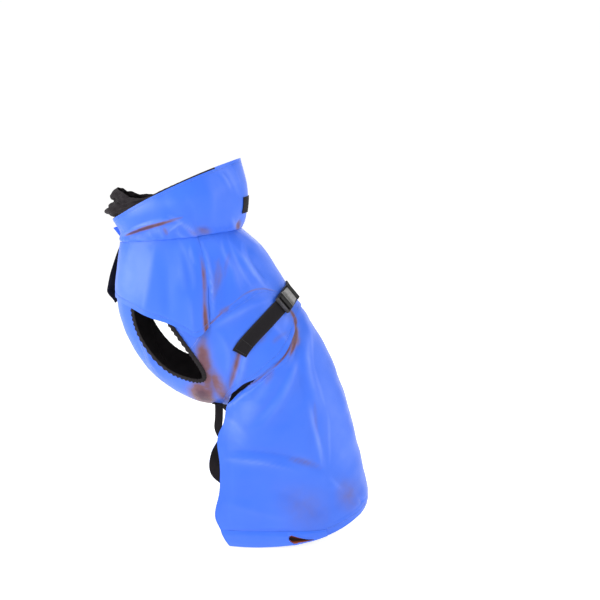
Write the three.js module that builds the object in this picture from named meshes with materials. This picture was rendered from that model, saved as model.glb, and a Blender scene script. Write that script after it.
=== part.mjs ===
// Dog raincoat, worn form: funnel collar, back, chest, belly band, shoulder capes and rear skirt.
// Millimetres, +Z up, +X towards the tail, -Y the coat's left side. The origin is inside the back neck
// seam, on the middle plane, where the coat lies on the withers.
import * as THREE from 'three';

// Cloth and the gaps between pieces
const CLOTH = 1.6;
const DOUBLE_CLOTH = 2.4;
const SEAM_GAP = 0.3;
const LAYER_GAP = 0.7;
const RAD = Math.PI / 180;

// Colours, as in the photo
const BLUE = { color: 0x4b84f7, roughness: 0.55, metalness: 0 };
const LINING = { color: 0x17181b, roughness: 0.8, metalness: 0 };
const WEBBING = { color: 0x202022, roughness: 0.85, metalness: 0 };
const BLACK_PLASTIC = { color: 0x1b1c1e, roughness: 0.4, metalness: 0 };
const GREY_PLASTIC = { color: 0x85878b, roughness: 0.45, metalness: 0 };

// A section runs from the front (throat, chest or belly) to the spine in the side view:
// front x and z, back x and z, half width, and how square its round is (1 is an ellipse)
const BODY_ROWS = [
  { frontX: -235, frontZ: -24, backX: 0, backZ: 0, half: 84, round: 0.92 },
  { frontX: -242, frontZ: -75, backX: 44, backZ: -40, half: 100, round: 0.88 },
  { frontX: -246, frontZ: -126, backX: 74, backZ: -86, half: 110, round: 0.84 },
  { frontX: -241, frontZ: -171, backX: 92, backZ: -115, half: 114, round: 0.82 },
  { frontX: -225, frontZ: -221, backX: 105, backZ: -136, half: 115, round: 0.8 },
  { frontX: -193, frontZ: -275, backX: 116, backZ: -151, half: 114, round: 0.8 },
  { frontX: -155, frontZ: -312, backX: 125, backZ: -164, half: 112, round: 0.8 },
  { frontX: -94, frontZ: -346, backX: 136, backZ: -182, half: 112, round: 0.8 },
  { frontX: -20, frontZ: -355, backX: 150, backZ: -206, half: 113, round: 0.8 },
];

// Collar, from its upper edge to the neck seam: the same columns; arch raises a row at the sides
const COLLAR_ROWS = [
  { frontX: -250, frontZ: 19, backX: -1, backZ: 138, half: 95, round: 0.92, arch: 8 },
  { frontX: -248, frontZ: 14, backX: 6, backZ: 112, half: 99, round: 0.92, arch: 6 },
  { frontX: -245, frontZ: 8, backX: 13, backZ: 84, half: 101, round: 0.92, arch: 4 },
  { frontX: -240, frontZ: 1, backX: 13, backZ: 45, half: 99, round: 0.92, arch: 2 },
  { frontX: -236, frontZ: -8, backX: 8, backZ: 18, half: 93, round: 0.92, arch: 1 },
  { frontX: -234, frontZ: -22.7, backX: 0.6, backZ: 2, half: 84.6, round: 0.92, arch: 0 },
];

// Inner collar, from its upper edge down: lift and bulge shape only its crumpled front
const INNER_COLLAR_ROWS = [
  { frontX: -238, frontZ: 30, backX: -20, backZ: 130, half: 76, round: 0.94, arch: 4, lift: 48, bulge: 0 },
  { frontX: -240, frontZ: 27, backX: -16, backZ: 125, half: 80, round: 0.94, arch: 4, lift: 39, bulge: 14 },
  { frontX: -240, frontZ: 24, backX: -14, backZ: 119, half: 82, round: 0.94, arch: 4, lift: 31, bulge: 9 },
  { frontX: -241, frontZ: 21, backX: -12, backZ: 112, half: 85, round: 0.94, arch: 4, lift: 22, bulge: 20 },
  { frontX: -242, frontZ: 18, backX: -9, backZ: 104, half: 87, round: 0.94, arch: 4, lift: 13, bulge: 25 },
  { frontX: -242, frontZ: 15, backX: -6, backZ: 92, half: 88, round: 0.92, arch: 4, lift: 7, bulge: 0 },
  { frontX: -234, frontZ: 4, backX: -2, backZ: 62, half: 87, round: 0.92, arch: 2, lift: 0, bulge: 0 },
  { frontX: -232, frontZ: -17, backX: 0.4, backZ: 6.5, half: 84.2, round: 0.92, arch: 0, lift: 0, bulge: 0 },
];
const LIFT_REACH = 0.35;

// Rear skirt: its sections end at the front edges, SKIRT_OPEN degrees round from the spine.
// bend keeps a line low along the side and raises it only near the spine; far moves the far front edge
const SKIRT_OPEN = 116;
const SKIRT_ROWS = [
  { frontX: 30, frontZ: -286, backX: 124, backZ: -163, half: 113, round: 0.8, bend: 1, far: 0 },
  { frontX: 4, frontZ: -314, backX: 137, backZ: -180, half: 115, round: 0.8, bend: 1, far: 0 },
  { frontX: -19, frontZ: -338, backX: 154, backZ: -213, half: 118, round: 0.8, bend: 1.1, far: 0 },
  { frontX: -27, frontZ: -368, backX: 175, backZ: -254, half: 121, round: 0.8, bend: 1.2, far: 0 },
  { frontX: -41, frontZ: -404, backX: 197, backZ: -304, half: 125, round: 0.79, bend: 1.5, far: 0 },
  { frontX: -36, frontZ: -455, backX: 219, backZ: -368, half: 129, round: 0.78, bend: 2, far: 12 },
  { frontX: -38, frontZ: -508, backX: 237, backZ: -450, half: 132, round: 0.77, bend: 2.6, far: 38 },
  { frontX: -47, frontZ: -556, backX: 254, backZ: -516, half: 133, round: 0.76, bend: 3.2, far: 30 },
  { frontX: -34, frontZ: -590, backX: 261, backZ: -543, half: 131, round: 0.76, bend: 3.2, far: 6 },
  { frontX: -18, frontZ: -619, backX: 258, backZ: -563, half: 130, round: 0.76, bend: 3.2, far: 0 },
];
const FAR_START = 55;

// Seams in the side view, x and z, from the front to the spine
const BACK_SEAM = [
  [-110, -245], [-84, -215], [-68, -190], [-53, -171], [-26, -154], [10, -131], [44, -113], [78, -122],
  [101, -130], [112, -134],
];
const BAND_REAR_EDGE = [
  [-60, -375], [-31, -360], [-22, -332], [-16, -317], [-4, -305], [11, -293], [33, -283], [66, -256],
  [94, -230], [106, -203], [113, -180], [121, -158],
];
const CAPE_LOWER_EDGE = [
  [-275, -132], [-231, -138], [-196, -148], [-158, -164], [-124, -175], [-99, -187], [-74, -198],
  [-52, -178], [-30, -150],
];

// Armhole: its rear and front ends round the body in degrees, its place along the rows
const ARMHOLE = { rear: 106, front: 141, frontAlong: 3.5, halfAlong: 2.1 };
const SHOULDER_SEAM = 112;
const CHEST_SEAM = { middleAlong: 6.5, power: 2.2 };

// Soft folds pressed into the surface: a line in the side view with its half width and height
const BODY_FOLDS = [
  { x1: -74, z1: -30, x2: -46, z2: -160, width: 16, height: -1.5 },
  { x1: 5, z1: -60, x2: 75, z2: -110, width: 16, height: 2 },
];
const SKIRT_FOLDS = [
  { x1: 142, z1: -215, x2: 148, z2: -330, width: 16, height: 5 },
  { x1: 150, z1: -330, x2: 168, z2: -470, width: 18, height: 5 },
  { x1: -25, z1: -478, x2: 140, z2: -500, width: 16, height: 4 },
  { x1: -10, z1: -450, x2: 150, z2: -462, width: 12, height: -3 },
  { x1: 90, z1: -260, x2: 10, z2: -360, width: 14, height: 3 },
];

// Value between the rows, by a smooth curve through them
function between(rows, column, along) {
  const last = rows.length - 1;
  const start = Math.min(Math.max(Math.floor(along), 0), last - 1);
  const part = along - start;
  const value = (row) => rows[Math.min(Math.max(row, 0), last)][column] ?? 0;
  const before = start === 0 ? 2 * value(0) - value(1) : value(start - 1);
  const after = start === last - 1 ? 2 * value(last) - value(last - 1) : value(start + 2);
  const here = value(start);
  const next = value(start + 1);
  const slopeHere = (next - before) / 2;
  const slopeNext = (after - here) / 2;
  const cube = part * part * part;
  const square = part * part;
  return here * (2 * cube - 3 * square + 1) + slopeHere * (cube - 2 * square + part)
    + next * (3 * square - 2 * cube) + slopeNext * (cube - square);
}

// How near an angle is to the far front edge, from 0 to 1
function farShare(angle, open) {
  return Math.min(Math.max((angle - FAR_START) / (open - FAR_START), 0), 1);
}

// Point of a surface that is given by section rows; angle 0 is the spine, positive on the far side
function rowPoint(rows, open, along, angle) {
  const turn = angle * RAD;
  const value = (column) => between(rows, column, along);
  const share = (Math.cos(turn) - Math.cos(open * RAD)) / (1 - Math.cos(open * RAD));
  const kept = Math.max(share, 0);
  const bent = rows[0].bend ? kept ** value('bend') : share;
  const side = Math.sin(turn);
  const atFront = Math.max(1 - kept / LIFT_REACH, 0);
  const lifted = value('lift') * atFront ** 2;
  const moved = value('bulge') * atFront ** 3 + value('far') * farShare(angle, open) ** 2;
  return new THREE.Vector3(
    value('frontX') + (value('backX') - value('frontX')) * share - moved,
    Math.sign(side) * value('half') * Math.abs(side) ** value('round'),
    value('frontZ') + (value('backZ') - value('frontZ')) * bent + value('arch') * side * side + lifted,
  );
}

// Height of the folds at a point of the side view
function foldHeight(folds, point) {
  let height = 0;
  for (const fold of folds) {
    const runX = fold.x2 - fold.x1;
    const runZ = fold.z2 - fold.z1;
    const share = ((point.x - fold.x1) * runX + (point.z - fold.z1) * runZ) / (runX * runX + runZ * runZ);
    const held = Math.min(Math.max(share, 0), 1);
    const distance = Math.hypot(point.x - fold.x1 - runX * held, point.z - fold.z1 - runZ * held);
    height += fold.height * Math.exp(-((distance / fold.width) ** 2));
  }
  return height;
}

// Outward direction of a surface, from its two slopes; rows run from the head end to the tail end
function outward(surface, along, angle) {
  const slopeAlong = surface(along + 0.02, angle).sub(surface(along - 0.02, angle));
  const slopeAngle = surface(along, angle + 0.8).sub(surface(along, angle - 0.8));
  return slopeAlong.cross(slopeAngle).normalize();
}

const rawBody = (along, angle) => rowPoint(BODY_ROWS, 180, along, angle);
const bodySurface = (along, angle) => {
  const point = rawBody(along, angle);
  const height = foldHeight(BODY_FOLDS, point) * Math.sin(angle * RAD) ** 2;
  return point.addScaledVector(outward(rawBody, along, angle), height);
};
const collarSurface = (along, angle) => rowPoint(COLLAR_ROWS, 180, along, angle);

// Height of a seam at x, straight between its points
function seamHeight(seam, x) {
  let index = 1;
  while (index < seam.length - 1 && seam[index][0] < x) {
    index += 1;
  }
  const [x1, z1] = seam[index - 1];
  const [x2, z2] = seam[index];
  return z1 + ((z2 - z1) * (x - x1)) / (x2 - x1);
}

// Place along the body where a path of the surface crosses a seam
function seamAlong(seam, pathAngle) {
  let above = 0;
  let below = BODY_ROWS.length - 1;
  for (let step = 0; step < 30; step += 1) {
    const middle = (above + below) / 2;
    const point = rawBody(middle, pathAngle(middle));
    if (point.z < seamHeight(seam, point.x)) {
      below = middle;
    } else {
      above = middle;
    }
  }
  return (above + below) / 2;
}

const backSeamAlong = (angle) => seamAlong(BACK_SEAM, () => angle);
const rearEdgeAlong = (angle) => seamAlong(BAND_REAR_EDGE, () => angle);

// Middle and half height of the armhole at one angle, both along the rows
const armholeRearAlong = backSeamAlong(ARMHOLE.rear);
function armholeMiddle(angle) {
  const share = (angle - ARMHOLE.rear) / (ARMHOLE.front - ARMHOLE.rear);
  return armholeRearAlong + (ARMHOLE.frontAlong - armholeRearAlong) * share;
}
function armholeHalf(angle) {
  const centre = (ARMHOLE.rear + ARMHOLE.front) / 2;
  const reach = (angle - centre) / (ARMHOLE.front - centre);
  return ARMHOLE.halfAlong * Math.sqrt(Math.max(1 - reach * reach, 0));
}

// Seam between the chest and the belly band, lowest at the middle
function chestSeamAlong(angle) {
  const share = (180 - angle) / (180 - ARMHOLE.front);
  return ARMHOLE.frontAlong + (CHEST_SEAM.middleAlong - ARMHOLE.frontAlong) * (1 - share ** CHEST_SEAM.power);
}

// Angles of the columns: even over the back, closer at both ends of the armhole, even over the chest
function evenSteps(from, to, count) {
  return Array.from({ length: count + 1 }, (_, step) => from + ((to - from) * step) / count);
}
function roundSteps(from, to, count) {
  return evenSteps(0, 180, count).map((turn) => from + ((to - from) * (1 - Math.cos(turn * RAD))) / 2);
}
const BACK_ANGLES = evenSteps(0, ARMHOLE.rear, 12);
const ARMHOLE_ANGLES = roundSteps(ARMHOLE.rear, ARMHOLE.front, 12);
const CHEST_ANGLES = evenSteps(ARMHOLE.front, 180, 6);
const mirrored = (angles) => [...angles.slice(1).reverse().map((angle) => -angle), ...angles];

// Solid wall between an inner and an outer grid of points, open or closed round its columns
function wallMesh(name, inner, outer, closed, look) {
  const columns = inner.length;
  const rows = inner[0].length;
  const positions = [...inner, ...outer].flatMap((column) => column.flatMap((point) => point.toArray()));
  const at = (layer, column, row) => (layer * columns + (column % columns)) * rows + row;
  const faces = [];
  const quad = (a, b, c, d) => faces.push(a, b, c, a, c, d);
  const columnCells = closed ? columns : columns - 1;
  const bottom = rows - 1;
  const side = columns - 1;
  for (let column = 0; column < columnCells; column += 1) {
    for (let row = 0; row < rows - 1; row += 1) {
      quad(at(1, column, row), at(1, column + 1, row), at(1, column + 1, row + 1), at(1, column, row + 1));
      quad(at(0, column, row), at(0, column, row + 1), at(0, column + 1, row + 1), at(0, column + 1, row));
    }
    quad(at(0, column, 0), at(0, column + 1, 0), at(1, column + 1, 0), at(1, column, 0));
    quad(at(0, column, bottom), at(1, column, bottom), at(1, column + 1, bottom), at(0, column + 1, bottom));
  }
  if (!closed) {
    for (let row = 0; row < rows - 1; row += 1) {
      quad(at(0, 0, row), at(1, 0, row), at(1, 0, row + 1), at(0, 0, row + 1));
      quad(at(0, side, row), at(0, side, row + 1), at(1, side, row + 1), at(1, side, row));
    }
  }
  const geometry = new THREE.BufferGeometry();
  geometry.setAttribute('position', new THREE.Float32BufferAttribute(positions, 3));
  geometry.setIndex(signedVolume(positions, faces) < 0 ? faces.reverse() : faces);
  const mesh = new THREE.Mesh(geometry, new THREE.MeshStandardMaterial(look));
  mesh.name = name;
  return mesh;
}

// Volume inside the faces, negative when they look inwards
function signedVolume(positions, faces) {
  const corner = (index) => new THREE.Vector3().fromArray(positions, index * 3);
  let volume = 0;
  for (let start = 0; start < faces.length; start += 3) {
    volume += corner(faces[start]).dot(corner(faces[start + 1]).cross(corner(faces[start + 2]))) / 6;
  }
  return volume;
}

// Wall of cloth on a surface: one column for each angle, its rows from placeAlong(angle, share)
function clothWall(name, surface, angles, rowCount, placeAlong, options = {}) {
  const { lift = () => 0, thickness = CLOTH, closed = false, look = BLUE } = options;
  const grid = (extra) => angles.map((angle) => Array.from({ length: rowCount + 1 }, (_, row) => {
    const share = row / rowCount;
    const along = placeAlong(angle, share);
    const normal = outward(surface, along, angle);
    return surface(along, angle).addScaledVector(normal, lift(angle, share) + extra);
  }));
  return wallMesh(name, grid(0), grid(thickness), closed, look);
}

const mix = (from, to, share) => from + (to - from) * share;
// Half a seam's gap, in rows of the body, and in degrees round it
const GAP_ALONG = 0.006;
const STEEP_GAP_ALONG = 0.016;
const GAP_ANGLE = 0.12;

function backYoke() {
  const toShoulder = ARMHOLE_ANGLES.filter((angle) => angle < SHOULDER_SEAM);
  const angles = mirrored([...BACK_ANGLES, ...toShoulder.slice(1), SHOULDER_SEAM - GAP_ANGLE]);
  const lowerEdge = (angle) => {
    const size = Math.abs(angle);
    const seam = size <= ARMHOLE.rear ? backSeamAlong(size) : armholeMiddle(size) - armholeHalf(size);
    return seam - GAP_ALONG;
  };
  return clothWall('back_yoke', bodySurface, angles, 8, (angle, share) => lowerEdge(angle) * share);
}

function chestBib() {
  const fromShoulder = ARMHOLE_ANGLES.filter((angle) => angle > SHOULDER_SEAM);
  const side = [SHOULDER_SEAM + GAP_ANGLE, ...fromShoulder, ...CHEST_ANGLES.slice(1)];
  const angles = [...side, ...side.slice(0, -1).reverse().map((angle) => 360 - angle)];
  const lowerEdge = (angle) => {
    const size = angle > 180 ? 360 - angle : angle;
    if (size < ARMHOLE.front) {
      return armholeMiddle(size) - armholeHalf(size);
    }
    return chestSeamAlong(size) - STEEP_GAP_ALONG;
  };
  return clothWall('chest_bib', bodySurface, angles, 8, (angle, share) => lowerEdge(angle) * share);
}

function bellyBand() {
  const side = [...BACK_ANGLES, ...ARMHOLE_ANGLES.slice(1), ...CHEST_ANGLES.slice(1)];
  const angles = mirrored(side).slice(1);
  const frontEdge = (size) => {
    if (size <= ARMHOLE.rear) {
      return backSeamAlong(size) + GAP_ALONG;
    }
    const underArmhole = armholeMiddle(size) + armholeHalf(size);
    return size < ARMHOLE.front ? underArmhole : chestSeamAlong(size) + STEEP_GAP_ALONG;
  };
  const place = (angle, share) => {
    const size = Math.abs(angle);
    return mix(frontEdge(size), rearEdgeAlong(size), share);
  };
  return clothWall('belly_band', bodySurface, angles, 6, place, { closed: true });
}

// Cape over the shoulder: from its rear seam to its loose front edge, standing off the body
const CAPE = {
  rearTop: 71, rearDrop: 4.1, front: 171, seamLift: 2.9, swell: 9,
  near: { flare: 0, longer: 0 }, far: { flare: 34, longer: 0.42 },
};
function capeRearAngle(along) {
  return CAPE.rearTop + CAPE.rearDrop * along;
}
function cape(name, sideSign, loose) {
  const shares = evenSteps(0, 1, 14);
  const angleAt = (across, along) => mix(capeRearAngle(along), CAPE.front, across);
  const placeOf = (across, down) => {
    const edge = seamAlong(CAPE_LOWER_EDGE, (along) => angleAt(across, along));
    const lower = edge + loose.longer * across ** 3;
    return mix(0.05, lower, down);
  };
  const grid = (extra) => shares.map((across) => evenSteps(0, 1, 8).map((down) => {
    const along = placeOf(across, down);
    const angle = sideSign * angleAt(across, along);
    const swell = CAPE.swell * Math.sin(Math.PI * Math.min(across * 1.1, 1)) ** 0.6 * down ** 0.8;
    const curl = 1 - 0.6 * THREE.MathUtils.smoothstep(down, 0.78, 1);
    const opened = curl * loose.flare * down ** 0.8 * Math.max((across - 0.45) / 0.55, 0) ** 1.6;
    const lift = CAPE.seamLift + swell + opened + extra;
    return bodySurface(along, angle).addScaledVector(outward(bodySurface, along, angle), lift);
  }));
  return wallMesh(name, grid(0), grid(CLOTH), false, BLUE);
}

// Elastic binding round an armhole, on the edge of the panels
const BINDING = { turns: 40, inside: 3.5, outside: 5.5, thickness: 1.6 };
function armholeBinding(name, sideSign) {
  const centre = (ARMHOLE.rear + ARMHOLE.front) / 2;
  const halfAngle = (ARMHOLE.front - ARMHOLE.rear) / 2;
  const edgePlace = (turn) => {
    const angle = centre + halfAngle * Math.cos(turn);
    return [armholeMiddle(angle) + ARMHOLE.halfAlong * Math.sin(turn), angle];
  };
  const edgePoint = (turn) => bodySurface(edgePlace(turn)[0], sideSign * edgePlace(turn)[1]);
  const middle = bodySurface(armholeMiddle(centre), sideSign * centre);
  const loop = Array.from({ length: BINDING.turns }, (_, step) => {
    const turn = (step / BINDING.turns) * 2 * Math.PI;
    const [along, angle] = edgePlace(turn);
    const normal = outward(bodySurface, along, sideSign * angle);
    const forward = edgePoint(turn + 0.05).sub(edgePoint(turn - 0.05)).normalize();
    const across = new THREE.Vector3().crossVectors(forward, normal);
    if (across.dot(edgePoint(turn).sub(middle)) < 0) {
      across.negate();
    }
    return { point: edgePoint(turn), normal, across };
  });
  const grid = (height) => loop.map(({ point, normal, across }) => [-BINDING.inside, BINDING.outside].map(
    (reach) => point.clone().addScaledVector(across, reach).addScaledVector(normal, height),
  ));
  const bottom = CLOTH + LAYER_GAP;
  return wallMesh(name, grid(bottom), grid(bottom + BINDING.thickness), true, LINING);
}

// Rear skirt: its top is tucked under the belly band, then it follows its own rows
const TUCK_ALONG = 0.45;
const TUCK_PAST = 0.22;
const SKIRT_UNDER = -(CLOTH + LAYER_GAP);
const SKIRT_BLEND = 2.6;
function plainSkirt(along, angle) {
  const rear = rearEdgeAlong(Math.min(Math.abs(angle), 180));
  const bodyAlong = rear + TUCK_PAST - TUCK_ALONG * Math.max(1 - along, 0);
  const inwards = outward(bodySurface, bodyAlong, angle).multiplyScalar(SKIRT_UNDER);
  const under = bodySurface(bodyAlong, angle).add(inwards);
  if (along <= 1) {
    return under;
  }
  const free = rowPoint(SKIRT_ROWS, SKIRT_OPEN, along - 1, angle);
  const share = Math.min((along - 1) / SKIRT_BLEND, 1);
  const shift = under.sub(rowPoint(SKIRT_ROWS, SKIRT_OPEN, 0, angle));
  return free.addScaledVector(shift, 1 - share * share * (3 - 2 * share));
}
const skirtSurface = (along, angle) => {
  const point = plainSkirt(along, angle);
  const fade = Math.min(Math.max((along - 1.2) / 1.5, 0), 1) * Math.sin(angle * RAD) ** 2;
  return point.addScaledVector(outward(plainSkirt, along, angle), foldHeight(SKIRT_FOLDS, point) * fade);
};
const SKIRT_LAST = SKIRT_ROWS.length;
const SKIRT_ANGLES = mirrored([...BACK_ANGLES, (ARMHOLE.rear + SKIRT_OPEN) / 2, SKIRT_OPEN]);

function rearSkirt() {
  return clothWall('rear_skirt', skirtSurface, SKIRT_ANGLES, 20, (angle, share) => SKIRT_LAST * share);
}

// Hem turned up on the outside of the near side, highest at the front, open where it ends
const TURNUP = { from: -SKIRT_OPEN, to: -62, height: 1.15, mouth: 6 };
function hemTurnup() {
  const angles = evenSteps(TURNUP.from, TURNUP.to, 12);
  const place = (angle, share) => {
    const run = (angle - TURNUP.from) / (TURNUP.to - TURNUP.from);
    const height = TURNUP.height * (1 - 0.55 * run ** 3);
    return SKIRT_LAST - height * (1 - share);
  };
  const lift = (angle, share) => {
    const run = (angle - TURNUP.from) / (TURNUP.to - TURNUP.from);
    return CLOTH + LAYER_GAP + TURNUP.mouth * Math.max((run - 0.6) / 0.4, 0) ** 2 * share * (1 - share) * 4;
  };
  return clothWall('hem_turnup', skirtSurface, angles, 3, place, { lift });
}

function collar() {
  const angles = evenSteps(-180, 180, 40).slice(1);
  const last = COLLAR_ROWS.length - 1;
  const options = { closed: true, thickness: DOUBLE_CLOTH };
  return clothWall('collar', collarSurface, angles, 8, (angle, share) => last * share, options);
}

// Inner collar, crumpled by waves that run round its front
const CRUMPLE = { height: 2.2, turns: 9, slant: 1.3 };
const innerCollarSurface = (along, angle) => {
  const point = rowPoint(INNER_COLLAR_ROWS, 180, along, angle);
  const front = Math.max(-Math.cos(angle * RAD), 0) * Math.min(Math.max(4 - along, 0), 1);
  const wave = Math.sin(CRUMPLE.turns * angle * RAD + CRUMPLE.slant * along);
  point.x += CRUMPLE.height * front * wave;
  return point;
};
function innerCollar() {
  const angles = evenSteps(-180, 180, 40).slice(1);
  const last = INNER_COLLAR_ROWS.length - 1;
  const options = { closed: true, thickness: CLOTH, look: LINING };
  return clothWall('inner_collar', innerCollarSurface, angles, 10, (angle, share) => last * share, options);
}

// Flat plate of cloth from an outline in the side view
function sidePlate(name, outline, middleY, thickness, look) {
  const shape = new THREE.Shape(outline.map(([x, z]) => new THREE.Vector2(x, z)));
  const geometry = new THREE.ExtrudeGeometry(shape, { depth: thickness, bevelEnabled: false });
  geometry.rotateX(Math.PI / 2);
  geometry.translate(0, middleY + thickness / 2, 0);
  const mesh = new THREE.Mesh(geometry, new THREE.MeshStandardMaterial(look));
  mesh.name = name;
  return mesh;
}
// Pointed end of the collar's overlap, in front of the neck seam
const COLLAR_TAB = [[-254, 0], [-247, 2.5], [-243.4, 1], [-240, -8], [-238.4, -14], [-237, -20], [-241, -17]];

// Black patch on the back of the collar
function napeLabel() {
  const angles = evenSteps(-20, 20, 6);
  const options = { lift: () => DOUBLE_CLOTH + LAYER_GAP, thickness: 1, look: LINING };
  return clothWall('nape_label', collarSurface, angles, 2, (angle, share) => mix(2.5, 3.4, share), options);
}

// Webbing strap on the belly band, from its sewn end up to the buckle on the spine
const STRAP = {
  half: 15, thickness: 1.8, sewnAngle: 84, sewnAlong: 6.12, spineAlong: 2.8, leftEnd: 33, rightEnd: -17,
  spineLift: 1.6, spineBend: 14,
};
const strapReach = (angle) => Math.hypot(angle, STRAP.spineBend);
const strapAlong = (angle) => (
  mix(STRAP.spineAlong, STRAP.sewnAlong, strapReach(angle) / strapReach(STRAP.sewnAngle))
);
const strapCentre = (angle) => bodySurface(strapAlong(angle), angle);
function strapAcross(angle) {
  const forward = strapCentre(angle + 1).sub(strapCentre(angle - 1)).normalize();
  const normal = outward(bodySurface, strapAlong(angle), angle);
  return new THREE.Vector3().crossVectors(normal, forward).normalize();
}
function strap(name, sideSign, end) {
  const angles = evenSteps(end, STRAP.sewnAngle, 16).map((angle) => angle * sideSign);
  // Each edge is set back on the body, so that the webbing lies on the cloth over its whole width
  const placed = angles.map((angle) => [-1, -0.33, 0.33, 1].map((reach) => {
    const target = strapCentre(angle).addScaledVector(strapAcross(angle), reach * STRAP.half);
    return nearestPlace(target, strapAlong(angle), angle);
  }));
  // It stands off a little more where it is bent hard over the spine
  const spineLift = (angle) => STRAP.spineLift * Math.exp(-((angle / 12) ** 2));
  const grid = (height) => placed.map((column) => column.map(([along, angle]) => (
    bodySurface(along, angle).addScaledVector(outward(bodySurface, along, angle), height + spineLift(angle))
  )));
  const bottom = CLOTH + LAYER_GAP;
  return wallMesh(name, grid(bottom), grid(bottom + STRAP.thickness), false, WEBBING);
}

// Place on the body that lies nearest to a point, by a few steps along its slopes
function nearestPlace(target, startAlong, startAngle) {
  let along = startAlong;
  let angle = startAngle;
  for (let step = 0; step < 8; step += 1) {
    const miss = target.clone().sub(bodySurface(along, angle));
    const slopeAlong = bodySurface(along + 0.02, angle).sub(bodySurface(along - 0.02, angle));
    slopeAlong.divideScalar(0.04);
    const slopeAngle = bodySurface(along, angle + 0.5).sub(bodySurface(along, angle - 0.5));
    const aa = slopeAlong.dot(slopeAlong);
    const bb = slopeAngle.dot(slopeAngle);
    const ab = slopeAlong.dot(slopeAngle);
    const size = aa * bb - ab * ab;
    along += (slopeAlong.dot(miss) * bb - slopeAngle.dot(miss) * ab) / size;
    angle += (slopeAngle.dot(miss) * aa - slopeAlong.dot(miss) * ab) / size;
  }
  return [along, angle];
}

// Hind-leg elastic: a strip from inside the belly band down to the inside of the skirt
const LEG_ELASTIC = { half: 8, thickness: 1.6, sewnLift: 5 };
const LEG_ELASTIC_SEWN = [[7.5, 156], [7.55, 151]];
const LEG_ELASTIC_ROUTE = [[-41, 76, -370], [-41, 88, -390], [-28, 102, -408], [-6, 110, -424]];
function legElastic(name, sideSign) {
  const height = CLOTH + LEG_ELASTIC.sewnLift;
  const sewn = LEG_ELASTIC_SEWN.map(([along, size]) => {
    const angle = size * sideSign;
    return bodySurface(along, angle).addScaledVector(outward(bodySurface, along, angle), height);
  });
  const free = LEG_ELASTIC_ROUTE.map(([x, y, z]) => new THREE.Vector3(x, y * sideSign, z));
  const curve = new THREE.CatmullRomCurve3([...sewn, ...free]);
  const stations = evenSteps(0, 1, 10);
  const grid = (away) => stations.map((share) => {
    const point = curve.getPointAt(share);
    const tangent = curve.getTangentAt(share);
    const across = new THREE.Vector3(1, 0, 0).addScaledVector(tangent, -tangent.x).normalize();
    const normal = new THREE.Vector3().crossVectors(across, tangent);
    return [-LEG_ELASTIC.half, LEG_ELASTIC.half].map(
      (reach) => point.clone().addScaledVector(across, reach).addScaledVector(normal, away),
    );
  });
  const half = LEG_ELASTIC.thickness / 2;
  return wallMesh(name, grid(-half), grid(half), false, WEBBING);
}

// Buckle: plates outlined in its own plane, x across the strap, y along it, then set on the spine
const BUCKLE = { width: 38, angle: -25, stand: 3.8, thickness: 7, socketLength: 30, plugLength: 24 };
const PRONG = { inner: 12.4, outer: 18.6, length: 17, gap: 0.4 };
// Slot for the webbing at each end of the buckle, and the grey bar across the plug
const SLOT = { half: 15.5, fromEnd: 5, width: 4, corner: 0.8 };
const BAR = { fromEnd: 13, half: 3, inset: 1, thickness: 2.5, corner: 2 };
const BUCKLE_CORNER = 1.2;
function roundedOutline(points, radius) {
  const shape = new THREE.Shape();
  points.forEach(([x, y], index) => {
    const before = new THREE.Vector2(...points[(index + points.length - 1) % points.length]);
    const after = new THREE.Vector2(...points[(index + 1) % points.length]);
    const corner = new THREE.Vector2(x, y);
    const start = corner.clone().add(before.sub(corner).setLength(radius));
    const end = corner.clone().add(after.sub(corner).setLength(radius));
    if (index === 0) {
      shape.moveTo(start.x, start.y);
    } else {
      shape.lineTo(start.x, start.y);
    }
    shape.quadraticCurveTo(x, y, end.x, end.y);
  });
  shape.closePath();
  return shape;
}
function slotShape(low, high) {
  const corners = [[-SLOT.half, low], [SLOT.half, low], [SLOT.half, high], [-SLOT.half, high]];
  return roundedOutline(corners, SLOT.corner);
}
function socketShape() {
  const half = BUCKLE.width / 2;
  const notch = PRONG.inner - PRONG.gap;
  const top = BUCKLE.socketLength;
  const shape = roundedOutline([
    [-half, PRONG.length], [-notch, PRONG.length], [-notch, 0], [notch, 0], [notch, PRONG.length],
    [half, PRONG.length], [half, top], [-half, top],
  ], BUCKLE_CORNER);
  shape.holes.push(slotShape(top - SLOT.fromEnd - SLOT.width, top - SLOT.fromEnd));
  return shape;
}
function plugShape() {
  const half = BUCKLE.width / 2;
  const reach = PRONG.length - PRONG.gap;
  const base = -PRONG.gap;
  const end = -BUCKLE.plugLength;
  const shape = roundedOutline([
    [-half, end], [half, end], [half, base], [PRONG.outer, reach], [PRONG.inner, reach], [PRONG.inner, base],
    [-PRONG.inner, base], [-PRONG.inner, reach], [-PRONG.outer, reach], [-half, base],
  ], BUCKLE_CORNER);
  shape.holes.push(slotShape(end + SLOT.fromEnd, end + SLOT.fromEnd + SLOT.width));
  return shape;
}
function barShape() {
  const half = BUCKLE.width / 2 - BAR.inset;
  const low = -BUCKLE.plugLength + BAR.fromEnd - BAR.half;
  const high = low + 2 * BAR.half;
  return roundedOutline([[-half, low], [half, low], [half, high], [-half, high]], BAR.corner);
}
function bucklePiece(name, shape, bottom, thickness, look) {
  const options = { depth: thickness, bevelEnabled: false, curveSegments: 4 };
  const geometry = new THREE.ExtrudeGeometry(shape, options);
  geometry.translate(0, 0, bottom);
  const mesh = new THREE.Mesh(geometry, new THREE.MeshStandardMaterial(look));
  mesh.name = name;
  return mesh;
}
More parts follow.
